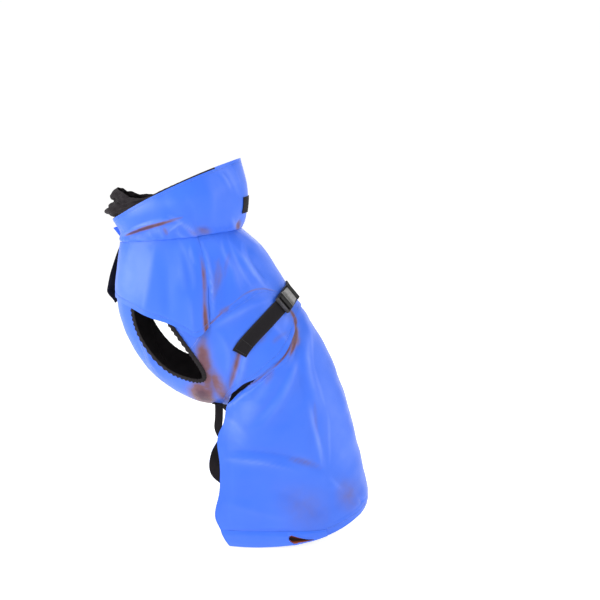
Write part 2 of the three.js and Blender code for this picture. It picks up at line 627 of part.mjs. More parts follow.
function buckle() {
  const along = strapAlong(BUCKLE.angle);
  const normal = outward(bodySurface, along, BUCKLE.angle);
  const strapWay = strapCentre(BUCKLE.angle + 1).sub(strapCentre(BUCKLE.angle - 1));
  strapWay.addScaledVector(normal, -strapWay.dot(normal)).normalize();
  const across = new THREE.Vector3().crossVectors(strapWay, normal);
  const group = new THREE.Group();
  group.matrixAutoUpdate = false;
  const place = bodySurface(along, BUCKLE.angle).addScaledVector(normal, BUCKLE.stand);
  group.matrix.makeBasis(across, strapWay, normal).setPosition(place);
  const raised = BUCKLE.thickness + SEAM_GAP;
  group.add(
    bucklePiece('buckle_socket', socketShape(), 0, BUCKLE.thickness, BLACK_PLASTIC),
    bucklePiece('buckle_plug', plugShape(), 0, BUCKLE.thickness, BLACK_PLASTIC),
    bucklePiece('buckle_bar', barShape(), raised, BAR.thickness, GREY_PLASTIC),
  );
  return group;
}

const raincoat = new THREE.Group();
raincoat.add(
  collar(),
  innerCollar(),
  sidePlate('collar_tab', COLLAR_TAB, 0, DOUBLE_CLOTH, BLUE),
  napeLabel(),
  backYoke(),
  chestBib(),
  bellyBand(),
  cape('cape_left', -1, CAPE.near),
  cape('cape_right', 1, CAPE.far),
  armholeBinding('armhole_binding_left', -1),
  armholeBinding('armhole_binding_right', 1),
  rearSkirt(),
  hemTurnup(),
  strap('strap_left', -1, STRAP.leftEnd),
  strap('strap_right', 1, STRAP.rightEnd),
  buckle(),
  legElastic('leg_elastic_left', -1),
  legElastic('leg_elastic_right', 1),
);

export default raincoat;
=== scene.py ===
# Dog raincoat in blue coated cloth, worn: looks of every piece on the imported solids.
# Lengths in the tables are millimetres in the solids' frame: +X to the tail, -Y the coat's left side.
from math import radians
import bmesh
import bpy
import numpy as np
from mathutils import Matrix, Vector


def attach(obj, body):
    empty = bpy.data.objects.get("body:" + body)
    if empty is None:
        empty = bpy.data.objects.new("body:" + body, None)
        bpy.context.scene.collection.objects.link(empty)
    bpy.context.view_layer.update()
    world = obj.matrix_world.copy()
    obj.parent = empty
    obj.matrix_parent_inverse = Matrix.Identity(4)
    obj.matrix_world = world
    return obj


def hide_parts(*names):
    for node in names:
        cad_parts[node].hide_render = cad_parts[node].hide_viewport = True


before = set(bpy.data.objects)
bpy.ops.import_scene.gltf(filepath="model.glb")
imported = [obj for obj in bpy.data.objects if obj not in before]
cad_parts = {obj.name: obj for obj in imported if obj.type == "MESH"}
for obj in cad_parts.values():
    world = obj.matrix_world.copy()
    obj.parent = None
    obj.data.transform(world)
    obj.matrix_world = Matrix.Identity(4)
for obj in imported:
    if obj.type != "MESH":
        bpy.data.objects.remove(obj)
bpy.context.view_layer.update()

MM = 0.001
CLOTH = 1.6
DOUBLE_CLOTH = 2.4
LAYER_GAP = 0.7
STEP = 3.2


def table(columns, rows):
    """Columns by name, each a whole array."""
    return {name: np.array(column, float) for name, column in zip(columns.split(), zip(*rows))}


SECTION = "front_x front_z back_x back_z half round"
BODY = table(SECTION, [
    (-235, -24, 0, 0, 84, 0.92),
    (-242, -75, 44, -40, 100, 0.88),
    (-246, -126, 74, -86, 110, 0.84),
    (-241, -171, 92, -115, 114, 0.82),
    (-225, -221, 105, -136, 115, 0.8),
    (-193, -275, 116, -151, 114, 0.8),
    (-155, -312, 125, -164, 112, 0.8),
    (-94, -346, 136, -182, 112, 0.8),
    (-20, -355, 150, -206, 113, 0.8),
])
COLLAR = table(SECTION + " arch", [
    (-250, 19, -1, 138, 95, 0.92, 8),
    (-248, 14, 6, 112, 99, 0.92, 6),
    (-245, 8, 13, 84, 101, 0.92, 4),
    (-240, 1, 13, 45, 99, 0.92, 2),
    (-236, -8, 8, 18, 93, 0.92, 1),
    (-234, -22.7, 0.6, 2, 84.6, 0.92, 0),
])
INNER_COLLAR = table(SECTION + " arch lift bulge", [
    (-238, 30, -20, 130, 76, 0.94, 4, 48, 0),
    (-240, 27, -16, 125, 80, 0.94, 4, 39, 14),
    (-240, 24, -14, 119, 82, 0.94, 4, 31, 9),
    (-241, 21, -12, 112, 85, 0.94, 4, 22, 20),
    (-242, 18, -9, 104, 87, 0.94, 4, 13, 25),
    (-242, 15, -6, 92, 88, 0.92, 4, 7, 0),
    (-234, 4, -2, 62, 87, 0.92, 2, 0, 0),
    (-232, -17, 0.4, 6.5, 84.2, 0.92, 0, 0, 0),
])
SKIRT_OPEN = 116
SKIRT = table(SECTION + " bend far", [
    (30, -286, 124, -163, 113, 0.8, 1, 0),
    (4, -314, 137, -180, 115, 0.8, 1, 0),
    (-19, -338, 154, -213, 118, 0.8, 1.1, 0),
    (-27, -368, 175, -254, 121, 0.8, 1.2, 0),
    (-41, -404, 197, -304, 125, 0.79, 1.5, 0),
    (-36, -455, 219, -368, 129, 0.78, 2, 12),
    (-38, -508, 237, -450, 132, 0.77, 2.6, 38),
    (-47, -556, 254, -516, 133, 0.76, 3.2, 30),
    (-34, -590, 261, -543, 131, 0.76, 3.2, 6),
    (-18, -619, 258, -563, 130, 0.76, 3.2, 0),
])
SKIRT_LAST = len(SKIRT["half"])

BACK_SEAM = table("x z", [
    (-110, -245), (-84, -215), (-68, -190), (-53, -171), (-26, -154), (10, -131), (44, -113), (78, -122),
    (101, -130), (112, -134),
])
BAND_REAR_EDGE = table("x z", [
    (-60, -377), (-31, -364), (-22, -337), (-16, -320), (-4, -306), (11, -293), (33, -283), (66, -256),
    (94, -230), (106, -203), (113, -180), (121, -158),
])
CAPE_LOWER_EDGE = table("x z", [
    (-275, -132), (-231, -138), (-196, -148), (-158, -164), (-124, -175), (-99, -187), (-74, -198),
    (-52, -178), (-30, -150),
])
ARMHOLE = {"rear": 109.0, "front": 141.0, "front_along": 3.5, "half_along": 2.1}
SHOULDER_SEAM = 112.0

# Folds in the side view: start, middle and end, half width, height (hollows are negative), how crisp
# the crest is, and lean, which steepens the flank on one side
FOLD = "x1 z1 xm zm x2 z2 width height crisp lean"
NEAR_BODY_FOLDS = table(FOLD, [
    (10, -28, 20, -60, 49, -97, 6, 3.5, 0.9, 0.5),
    (12, -11, 26, -22, 42, -38, 7, 2.9, 0.8, -0.4),
    (-42, -20, -12, -68, 5, -126, 12, 3.2, 0.4, 0.3),
    (-18, -19, 22, -70, 47, -108, 9, 3.2, 0.7, 0.3),
    (-30, -30, -24, -80, -28, -140, 9, -2.6, 0.3, 0.0),
    (-66, -24, -50, -90, -46, -162, 7, 4.8, 0.9, 0.7),
    (-92, -30, -78, -88, -62, -168, 9, -4.8, 0.3, -0.4),
    (-120, -190, -84, -178, -60, -170, 8, 2.4, 0.6, 0.0),
    (6, -210, -5, -256, -18, -306, 7, -4.2, 0.4, 0.2),
    (18, -212, 10, -256, -3, -300, 9, 3.8, 0.6, -0.2),
    (-49, -187, -18, -232, -31, -315, 14, 3.8, 0.4, 0.2),
    (-67, -216, -52, -266, -45, -325, 11, -4.5, 0.3, 0.0),
    (-90, -250, -82, -300, -70, -345, 13, 3.5, 0.4, 0.0),
    (-20, -240, -2, -270, 0, -300, 8, 2.6, 0.6, 0.3),
    (-40, -178, 10, -152, 60, -132, 10, 2.9, 0.5, 0.4),
    (60, -180, 80, -196, 96, -222, 9, 2.9, 0.6, 0.3),
    (-184, -225, -176, -250, -161, -284, 7, 3.2, 0.6, 0.2),
    (-198, -212, -192, -240, -180, -270, 8, -2.9, 0.4, 0.0),
    (-228, -60, -236, -130, -226, -200, 18, 2.6, 0.3, 0.0),
])
FAR_BODY_FOLDS = table(FOLD, [
    (14, -22, 40, -58, 66, -102, 9, 3.8, 0.8, 0.5),
    (-34, -24, -20, -76, -2, -118, 11, 3.2, 0.5, 0.3),
    (-8, -14, 26, -60, 52, -112, 8, 2.9, 0.7, 0.3),
    (-70, -30, -54, -96, -50, -158, 8, 4.2, 0.8, 0.7),
    (-90, -36, -76, -94, -64, -164, 9, -4.2, 0.3, -0.4),
    (8, -206, 0, -240, -12, -276, 9, -3.8, 0.4, 0.2),
    (20, -208, 16, -246, 2, -284, 10, 3.5, 0.5, -0.2),
    (-42, -192, -22, -240, -36, -322, 13, 3.5, 0.4, 0.2),
    (-74, -226, -58, -272, -52, -330, 11, -3.8, 0.3, 0.0),
    (-96, -256, -88, -306, -74, -348, 12, 3.2, 0.4, 0.0),
    (-36, -174, 4, -150, 52, -136, 10, 2.6, 0.5, 0.4),
    (64, -178, 82, -200, 94, -226, 9, 2.6, 0.6, 0.3),
    (-188, -230, -178, -254, -166, -282, 7, 2.9, 0.6, 0.2),
    (-226, -66, -238, -134, -230, -204, 17, 2.4, 0.3, 0.0),
])
NEAR_COLLAR_FOLDS = table(FOLD, [
    (-232, -14, -182, 12, -104, 28, 9, 5.0, 0.5, 0.85),
    (-132, 0, -114, 14, -101, 19, 5, 2.8, 0.8, 0.6),
    (-101, 17, -88, 4, -77, -12, 5, 2.8, 0.8, 0.4),
    (-222, -16, -176, 2, -112, 18, 5, -2.6, 0.3, 0.0),
    (-76, -2, -66, 3, -56, -2, 5, -2.6, 0.5, 0.0),
    (-96, 60, -80, 30, -74, -4, 12, -2.9, 0.3, 0.2),
    (-58, 96, -46, 50, -52, 6, 14, 2.6, 0.3, 0.3),
    (-36, 112, -22, 96, -14, 74, 7, 2.9, 0.8, 0.3),
    (-12, 122, -4, 100, 0, 82, 7, 2.6, 0.7, 0.3),
    (1, 22, -3, 10, -8, -4, 5, -3.2, 0.5, 0.2),
    (-14, 30, -12, 14, -16, -4, 6, 2.9, 0.7, 0.0),
    (-150, 14, -146, 0, -136, -10, 5, 2.6, 0.7, 0.0),
    (-118, 16, -112, 2, -104, -8, 5, 2.6, 0.7, 0.0),
    (-170, 8, -166, -4, -160, -12, 5, 2.2, 0.6, 0.0),
    (-92, 20, -84, 4, -84, -8, 6, 2.9, 0.8, 0.0),
    (-140, 74, -128, 44, -104, 30, 12, -1.9, 0.2, 0.0),
])
FAR_COLLAR_FOLDS = table(FOLD, [
    (-226, -12, -170, 10, -96, 24, 9, 4.0, 0.5, 0.85),
    (-84, 54, -76, 28, -70, -2, 12, -2.6, 0.3, 0.2),
    (-50, 92, -42, 48, -46, 8, 13, 2.6, 0.3, 0.3),
    (-30, 108, -18, 88, -12, 70, 7, 2.6, 0.8, 0.3),
    (-4, 26, -6, 12, -10, -2, 5, -2.9, 0.5, 0.2),
    (-142, 12, -136, 0, -128, -10, 5, 2.4, 0.7, 0.0),
    (-110, 14, -102, 2, -98, -8, 5, 2.4, 0.7, 0.0),
    (-150, 66, -132, 40, -112, 28, 12, -1.9, 0.2, 0.0),
])
NEAR_CAPE_FOLDS = table(FOLD, [
    (-158, -30, -168, -90, -176, -160, 16, 3.8, 0.3, 0.2),
    (-112, -34, -104, -74, -100, -110, 12, 3.5, 0.5, 0.3),
    (-196, -36, -206, -84, -206, -140, 14, -2.2, 0.2, 0.0),
    (-84, -40, -72, -90, -58, -170, 6, -4.2, 0.4, 0.5),
    (-90, -120, -86, -156, -82, -196, 9, 3.2, 0.5, 0.2),
    (-134, -60, -132, -110, -128, -168, 13, -2.6, 0.2, 0.0),
])
FAR_CAPE_FOLDS = table(FOLD, [
    (-150, -36, -158, -96, -164, -158, 15, 3.8, 0.3, 0.2),
    (-108, -40, -98, -84, -96, -124, 12, 3.2, 0.5, 0.3),
    (-188, -40, -198, -90, -200, -136, 14, -2.6, 0.2, 0.0),
    (-82, -44, -72, -96, -60, -166, 7, -3.8, 0.4, 0.5),
    (-128, -56, -126, -112, -120, -168, 13, -2.6, 0.2, 0.0),
])
NEAR_SKIRT_FOLDS = table(FOLD, [
    (141, -187, 134, -260, 158, -346, 15, 8.0, 0.35, 0.3),
    (135, -330, 151, -396, 167, -464, 11, 5.4, 0.7, 0.4),
    (120, -190, 112, -250, 134, -330, 12, -4.8, 0.2, 0.0),
    (138, -352, 150, -400, 148, -452, 10, -4.2, 0.3, 0.0),
    (-20, -424, 83, -432, 160, -466, 7, -4.8, 0.5, -0.6),
    (-24, -440, 50, -447, 112, -464, 9, 4.5, 0.5, 0.5),
    (91, -225, 50, -276, 6, -322, 12, 5.4, 0.4, 0.3),
    (116, -229, 96, -300, 48, -372, 14, 5.8, 0.4, 0.3),
    (104, -250, 74, -316, 22, -372, 11, -4.2, 0.2, 0.0),
    (176, -480, 190, -500, 204, -512, 8, 3.8, 0.7, 0.3),
    (236, -538, 245, -549, 253, -562, 5, -3.8, 0.7, 0.4),
    (60, -500, 120, -522, 176, -566, 18, -4.5, 0.2, 0.0),
    (-30, -360, -4, -372, 16, -398, 12, 4.2, 0.3, 0.2),
    (-36, -410, -12, -404, 10, -416, 10, -2.9, 0.3, 0.0),
    (-30, -530, 40, -548, 110, -566, 16, 2.9, 0.2, 0.0),
    (196, -300, 214, -368, 232, -440, 14, 3.5, 0.3, 0.2),
    (-22, -588, 60, -586, 118, -592, 5, -2.2, 0.4, 0.0),
])
FAR_SKIRT_FOLDS = table(FOLD, [
    (138, -196, 130, -270, 150, -352, 15, 7.4, 0.35, 0.3),
    (148, -340, 168, -404, 160, -486, 13, 6.7, 0.5, 0.4),
    (116, -200, 108, -262, 128, -340, 12, -4.5, 0.2, 0.0),
    (-20, -446, 66, -440, 150, -474, 10, -4.5, 0.35, -0.4),
    (-12, -462, 60, -460, 124, -486, 12, 3.8, 0.3, 0.2),
    (86, -232, 44, -288, 2, -336, 12, 5.1, 0.4, 0.3),
    (110, -240, 90, -312, 40, -384, 14, 5.1, 0.4, 0.3),
    (182, -470, 196, -498, 212, -516, 8, 3.5, 0.7, 0.3),
    (66, -510, 124, -530, 180, -560, 18, -4.2, 0.2, 0.0),
    (-26, -368, 2, -382, 20, -410, 12, 3.8, 0.3, 0.2),
    (192, -306, 210, -376, 228, -448, 14, 3.5, 0.3, 0.2),
])

# Streaks in the side view: start, middle and end, half width and strength. The SHINE tables hold painted
# highlights, paler blue where light catches crests and broad planes; the SHADES tables hold painted shade,
# tinted russet and mauve, in deep creases, under edges and over the shaded belly
SHADE = "x1 z1 xm zm x2 z2 width strength"
BODY_SHINE = table(SHADE, [
    (7, -23, 18, -66, 70, -127, 3, 0.42),
    (-2, -5, 21, -15, 51, -59, 3, 0.32),
    (30, -30, 52, -66, 84, -112, 9, 0.21),
    (-22, -10, 3, -70, 32, -113, 3, 0.28),
    (-33, -15, -26, -44, -10, -73, 3, 0.24),
    (-49, -184, -4, -156, 33, -138, 7, 0.21),
    (88, -190, 98, -160, 102, -138, 6, 0.21),
    (20, -216, 12, -256, 0, -300, 6, 0.24),
    (-205, -230, -180, -270, -150, -310, 10, 0.17),
    (-236, -60, -242, -120, -238, -180, 14, 0.21),
])
CAPE_SHINE = table(SHADE, [
    (-207, -35, -212, -90, -206, -150, 32, 0.42),
    (-91, -28, -88, -47, -80, -62, 4, 0.42),
    (-112, -18, -89, -65, -82, -109, 5, 0.30),
    (-158, -28, -166, -90, -176, -150, 5, 0.26),
])
COLLAR_SHINE = table(SHADE, [
    (-132, 32, -108, 19, -80, -14, 3, 0.45),
    (-132, 0, -114, 16, -101, 21, 2.2, 0.42),
    (-101, 19, -88, 4, -77, -17, 2.4, 0.45),
    (-196, -12, -148, -17, -79, -19, 2.6, 0.3),
    (-171, -8, -155, 8, -129, 11, 3, 0.28),
    (-209, 36, -165, 49, -112, 58, 11, 0.20),
    (-23, 119, -12, 96, 2, 65, 4, 0.24),
    (-180, -7, -146, 6, -98, 15, 6, 0.28),
    (-15, 28, -5, 3, 2, -10, 4, 0.28),
    (-120, 2, -100, -8, -86, -12, 3, 0.24),
])
SKIRT_SHINE = table(SHADE, [
    (115, -135, 134, -184, 144, -265, 4, 0.45),
    (144, -260, 157, -310, 172, -351, 4, 0.42),
    (171, -349, 177, -390, 178, -456, 4, 0.4),
    (139, -347, 155, -407, 161, -460, 3, 0.26),
    (160, -270, 194, -390, 214, -480, 24, 0.24),
    (24, -322, 20, -345, -2, -390, 18, 0.42),
    (134, -180, 160, -250, 182, -328, 13, 0.16),
    (-11, -346, -2, -376, -12, -420, 26, 0.36),
    (-26, -440, 22, -445, 76, -442, 6, 0.2),
    (23, -330, 44, -310, 60, -284, 9, 0.23),
    (-31, -583, 31, -587, 92, -585, 3, 0.20),
])
BODY_SHADES = table(SHADE, [
    (-79, -36, -72, -76, -57, -160, 5, 0.95),
    (-74, -150, -66, -170, -62, -188, 7, 0.5),
    (-36, -50, -40, -84, -44, -120, 5, 0.3),
    (-16, -40, -22, -64, -24, -88, 5, 0.22),
    (8, -212, -5, -260, -19, -309, 6, 0.66),
    (-58, -250, -40, -300, -18, -336, 18, 0.62),
    (-82, -290, -74, -322, -50, -352, 25, 0.95),
    (-36, -152, -24, -148, -16, -140, 5, 0.5),
    (-66, -196, -66, -262, -50, -330, 17, 0.8),
    (-78, -203, -49, -171, -4, -131, 1.7, 0.6),
    (-10, -138, 34, -112, 80, -125, 1.5, 0.42),
    (94, -150, 109, -178, 107, -210, 3.2, 0.9),
    (10, -296, 34, -284, 66, -258, 1.6, 0.5),
    (-44, -56, -34, -82, -48, -130, 6, 0.3),
    (96, -196, 78, -205, 66, -216, 5, 0.25),
    (54, -196, 46, -206, 40, -214, 6, 0.22),
    (94, -120, 102, -124, 110, -128, 4, 0.4),
])
COLLAR_SHADES = table(SHADE, [
    (-218, -10, -178, 7, -104, 29, 3.4, 1.1),
    (-80, 8, -66, 2, -50, 4, 9, 0.4),
    (-66, 8, -60, 0, -58, -8, 5, 0.3),
    (-96, 8, -84, 0, -72, -6, 5, 0.3),
    (-140, 12, -136, 2, -132, -4, 4, 0.4),
    (2, 20, -3, 8, -8, -4, 4, 0.6),
    (16, 14, 14, 8, 10, 4, 4, 0.5),
])
SKIRT_SHADES = table(SHADE, [
    (101, -176, 110, -207, 99, -242, 6.2, 1.0),
    (109, -196, 115, -214, 113, -226, 5, 0.5),
    (96, -440, 128, -448, 162, -463, 6, 0.34),
    (200, -494, 216, -528, 226, -562, 24, 0.3),
    (84, -500, 130, -540, 176, -576, 42, 0.2),
    (104, -210, 92, -238, 60, -268, 2.2, 0.7),
    (62, -264, 34, -288, 8, -304, 1.8, 0.5),
    (146, -330, 150, -366, 154, -400, 4, 0.2),
    (70, -262, 60, -280, 52, -294, 7, 0.25),
])


def bell(value, width, centre=0.0):
    """Bell curve: 1 at its centre, dying away beyond its width."""
    return np.exp(-((value - centre) / width) ** 2)


def cubic(start, end, start_slope, end_slope, part):
    """Smooth curve from one value to another, with a given slope at each end."""
    square, cube = part ** 2, part ** 3
    return (start * (2 * cube - 3 * square + 1) + start_slope * (cube - 2 * square + part)
            + end * (3 * square - 2 * cube) + end_slope * (cube - square))


def between(values, along):
    """Smooth curve through the rows: a cubic between two rows, with slopes from their neighbours."""
    padded = np.concatenate([[2 * values[0] - values[1]], values, [2 * values[-1] - values[-2]]])
    start = np.clip(np.floor(along), 0, len(values) - 2).astype(int)
    before, here, following, after = (padded[start + step] for step in range(4))
    return cubic(here, following, (following - before) / 2, (after - here) / 2, along - start)


def smooth_step(share):
    """Rises from 0 to 1 with level ends."""
    held = np.clip(share, 0, 1)
    return held * held * (3 - 2 * held)


def section_point(rows, open_angle, along, angle):
    """Point of a section: x and z run from front to back with the cosine of the angle, y is the half
    width times the sine to a power. Lift, bulge and far move only the ends at the front."""
    turn = np.radians(angle)
    open_cosine = np.cos(radians(open_angle))
    share = (np.cos(turn) - open_cosine) / (1 - open_cosine)
    kept = np.maximum(share, 0)
    value = {name: between(column, along) for name, column in rows.items()}
    bent = kept ** value["bend"] if "bend" in rows else share
    side = np.sin(turn)
    front_part, far_from = 0.35, 55
    at_front = np.maximum(1 - kept / front_part, 0)
    far_share = np.clip((angle - far_from) / (open_angle - far_from), 0, 1)
    moved = value.get("bulge", 0) * at_front ** 3 + value.get("far", 0) * far_share ** 2
    x = value["front_x"] + (value["back_x"] - value["front_x"]) * share - moved
    y = np.sign(side) * value["half"] * np.abs(side) ** value["round"]
    z = value["front_z"] + (value["back_z"] - value["front_z"]) * bent
    z = z + value.get("arch", 0) * side ** 2 + value.get("lift", 0) * at_front ** 2
    return np.stack([x, y, z], axis=-1)


def unit(vectors):
    """Vectors at length one."""
    return vectors / np.linalg.norm(vectors, axis=-1, keepdims=True)


def outward(surface, along, angle):
    """Direction away from the hollow: the slope along the rows crossed with the slope round them."""
    slope_along = surface(along + 0.02, angle) - surface(along - 0.02, angle)
    slope_angle = surface(along, angle + 0.8) - surface(along, angle - 0.8)
    return unit(np.cross(slope_along, slope_angle))


def raw_body(along, angle):
    """The body's plain form."""
    return section_point(BODY, 180, along, angle)


def raw_collar(along, angle):
    """The collar's plain form."""
    return section_point(COLLAR, 180, along, angle)


def seam_height(seam, x):
    """Height of a seam at x: a smooth curve through its points, straight beyond its ends."""
    knots, heights = seam["x"], seam["z"]
    slopes = np.gradient(heights, knots)
    held = np.clip(x, knots[0], knots[-1])
    start = np.clip(np.searchsorted(knots, held) - 1, 0, len(knots) - 2)
    span = knots[start + 1] - knots[start]
    height = cubic(heights[start], heights[start + 1], slopes[start] * span, slopes[start + 1] * span,
                   (held - knots[start]) / span)
    beyond = np.where(x < knots[0], slopes[0] * (x - knots[0]), slopes[-1] * (x - held))
    return height + np.where((x < knots[0]) | (x > knots[-1]), beyond, 0)


def seam_along(seam, path_angle, like):
    """Place along the body where each path crosses a seam, by halving the stretch that holds it."""
    above = np.zeros_like(like, dtype=float)
    below = np.full_like(above, len(BODY["half"]) - 1)
    for _ in range(26):
        middle = (above + below) / 2
        point = raw_body(middle, path_angle(middle))
        under = point[..., 2] < seam_height(seam, point[..., 0])
        below = np.where(under, middle, below)
        above = np.where(under, above, middle)
    return (above + below) / 2


def back_seam_along(angle):
    """Where the slanted back seam crosses an angle."""
    return seam_along(BACK_SEAM, lambda _: angle, angle)


def rear_edge_along(angle):
    """Where the belly band's rear edge crosses an angle."""
    return seam_along(BAND_REAR_EDGE, lambda _: angle, angle)


ARMHOLE_REAR_ALONG = float(back_seam_along(np.array(ARMHOLE["rear"])))
ARMHOLE_CENTRE = (ARMHOLE["rear"] + ARMHOLE["front"]) / 2


def armhole_middle(angle):
    """Middle of the armhole along the body, on a straight line from its rear to its front end."""
    share = (angle - ARMHOLE["rear"]) / (ARMHOLE["front"] - ARMHOLE["rear"])
    return ARMHOLE_REAR_ALONG + (ARMHOLE["front_along"] - ARMHOLE_REAR_ALONG) * share


def armhole_half(angle):
    """Half the armhole's height along the body, as on an ellipse."""
    reach = (angle - ARMHOLE_CENTRE) / (ARMHOLE["front"] - ARMHOLE_CENTRE)
    return ARMHOLE["half_along"] * np.sqrt(np.maximum(1 - reach ** 2, 0))


def chest_seam_along(angle):
    """Seam between chest and belly band, lowest at the middle."""
    share = np.clip((180 - angle) / (180 - ARMHOLE["front"]), 0, 1)
    return ARMHOLE["front_along"] + (6.5 - ARMHOLE["front_along"]) * (1 - share ** 2.2)


def line_reach(line, points):
    """Signed distance to a line bent through three points of the side view, and the share of its
    length at the nearest place. The line is a quadratic curve, cut into short straight runs."""
    x1, z1, xm, zm, x2, z2 = line
    shares = np.linspace(0, 1, 13)
    handle = np.array([2 * xm - (x1 + x2) / 2, 2 * zm - (z1 + z2) / 2])
    curve = (np.outer((1 - shares) ** 2, [x1, z1]) + np.outer(2 * shares * (1 - shares), handle)
             + np.outer(shares ** 2, [x2, z2]))
    flat = points[..., [0, 2]]
    nearest = np.full(flat.shape[:-1], np.inf)
    signed = np.zeros_like(nearest)
    place = np.zeros_like(nearest)
    for index in range(12):
        run = curve[index + 1] - curve[index]
        away = flat - curve[index]
        share = np.clip(away @ run / (run @ run), 0, 1)
        miss = away - share[..., None] * run
        distance = np.hypot(miss[..., 0], miss[..., 1])
        closer = distance < nearest
        sign = np.sign(run[0] * away[..., 1] - run[1] * away[..., 0])
        nearest = np.where(closer, distance, nearest)
        signed = np.where(closer, distance * sign, signed)
        place = np.where(closer, (index + share) / 12, place)
    return signed, place


def faded_ends(place, share=0.94):
    """1 at the middle of a line, falling away to nearly 0 at both of its ends."""
    return np.sin(np.pi * np.clip(place * share + (1 - share) / 2, 0, 1))


def line_rows(lines):
    """Each row of a table of lines, as its six coordinates and the rest."""
    columns = list(lines.values())
    return [([column[row] for column in columns[:6]], [column[row] for column in columns[6:]])
            for row in range(len(columns[0]))]


def fold_height(folds, points):
    """Height of all folds: round or crisp across, faded at both ends and uneven along their length."""
    height = np.zeros(points.shape[:-1])
    for index, (line, (width, top, crisp, lean)) in enumerate(line_rows(folds)):
        signed, place = line_reach(line, points)
        steep = 1 - np.where(signed > 0, max(lean, 0), max(-lean, 0)) * 0.8
        reach = np.abs(signed) / (width * steep)
        across = (1 - crisp) * np.exp(-reach ** 2) + crisp * np.exp(-1.7 * np.sqrt(reach ** 2 + 0.03))
        faded = faded_ends(place, 0.9) ** 0.7
        uneven = 1 + 0.22 * np.sin(9 * place + 1.7 * index)
        height += top * across * faded * uneven
    return height


def painted_streak_strength(shades, points):
    """Strength of a table's painted streaks, painted highlight in the SHINE tables and painted shade in the
    SHADES tables: soft across and thinner towards both ends.
    """
    strength = np.zeros(points.shape[:-1])
    for line, (width, top) in line_rows(shades):
        signed, place = line_reach(line, points)
        taper = faded_ends(place) ** 0.6
        reach = np.abs(signed) / (width * (0.35 + 0.65 * taper))
        strength = np.maximum(strength, top * taper * np.exp(-reach ** 2))
    return strength


def crest_highlight_strength(folds, points):
    """Strength of the painted highlight lines on the crisp crests: narrower than the fold and faded at its
    ends.
    """
    strength = np.zeros(points.shape[:-1])
    for line, (width, top, crisp, _) in line_rows(folds):
        signed, place = line_reach(line, points)
        across = bell(signed, width * 0.38)
        strength = np.maximum(strength, max(top, 0) / 8 * crisp * faded_ends(place) * across)
    return strength


def fainter_far(streaks, grid):
    """Painted streaks of both sides, at 0.6 of their strength on the far side."""
    return painted_streak_strength(streaks, grid.base) * (0.6 + 0.4 * grid.near_share)


def painted_highlights(grid, near_folds, far_folds, shine):
    """Painted highlights: paler lines on the crests of both sides, and the broad paler places, weaker on the
    far side.
    """
    lines = crest_highlight_strength(near_folds, grid.base) * grid.near_share
    lines += crest_highlight_strength(far_folds, grid.base) * (1 - grid.near_share)
    return np.clip(lines + fainter_far(shine, grid), 0, 1)


def ripple(points, size, seed):
    """Low waves of the cloth: three crossing sines with lengths near the given size."""
    x, y, z = (points[..., axis] / size for axis in range(3))
    first = np.sin(2.1 * x + 1.3 * y - 0.7 * z + seed)
    second = np.sin(-1.1 * x + 2.3 * z + 0.9 * y + 2.3 * seed)
    third = np.sin(1.7 * z - 1.9 * y + 0.6 * x + 0.7 * seed)
    return (first * second + second * third) / 2


class Grid:
    """A piece of cloth as a grid of points: place along the rows and angle round them at each point, and
    1 on the near side and 0 on the far side. Columns run round the body, rows from head to tail."""

    def __init__(self, surface, along, angle):
        self.along = along
        self.angle = angle
        self.base = surface(along, angle)
        self.normal = outward(surface, along, angle)
        self.near_share = smooth_step(0.5 - self.base[..., 1] / 16)

    def raised(self, lift):
        """Points moved outwards by a lift in millimetres."""
        return self.base + self.normal * np.asarray(lift + np.zeros(self.along.shape))[..., None]


def folded(grid, near_folds, far_folds, fade=1.0):
    """Height of the near side's folds on the near side and of the far side's on the other."""
    height = fold_height(near_folds, grid.base) * grid.near_share
    height += fold_height(far_folds, grid.base) * (1 - grid.near_share)
    side = np.abs(np.sin(np.radians(grid.angle)))
    return height * fade * smooth_step(side / 0.3)


def edge_distance(points):
    """Distance of each point from the first and from the last row, along its column."""
    steps = np.linalg.norm(np.diff(points, axis=1), axis=-1)
    run = np.concatenate([np.zeros((len(points), 1)), np.cumsum(steps, axis=1)], axis=1)
    return run, run[:, -1:] - run


def cloth_map(points, closed):
    """Flat map in metres: how far along the middle row, and how far along each column."""
    ring = np.concatenate([points, points[:1]]) if closed else points
    middle = ring[:, ring.shape[1] // 2]
    across = np.concatenate([[0], np.cumsum(np.linalg.norm(np.diff(middle, axis=0), axis=-1))])
    down = edge_distance(ring)[0]
    return np.stack([np.broadcast_to(across[:, None], down.shape), down], axis=-1) * MM


def make_piece(name, points, faces, materials, slots=None, maps=None, attributes=None, crisp=50):
    """Mesh from points in millimetres and faces of four (or three) corners, with a flat map."""
    mesh = bpy.data.meshes.new(name)
    mesh.from_pydata((np.asarray(points) * MM).tolist(), [], np.asarray(faces).tolist())
    for material in materials:
        mesh.materials.append(material)
    if slots is not None:
        mesh.polygons.foreach_set("material_index", np.asarray(slots, np.int32))
    if maps is not None:
        layer = mesh.uv_layers.new(name="cloth")
        layer.uv.foreach_set("vector", np.asarray(maps, np.float32).ravel())
    for label, values in (attributes or {}).items():
        layer = mesh.attributes.new(label, "FLOAT", "POINT")
        layer.data.foreach_set("value", np.asarray(values, np.float32).ravel())
    mesh.polygons.foreach_set("use_smooth", np.ones(len(mesh.polygons), bool))
    mesh.validate()
    mesh.update()
    if crisp:
        mesh.set_sharp_from_angle(angle=radians(crisp))
    piece = bpy.data.objects.new(name, mesh)
    bpy.context.scene.collection.objects.link(piece)
    return piece


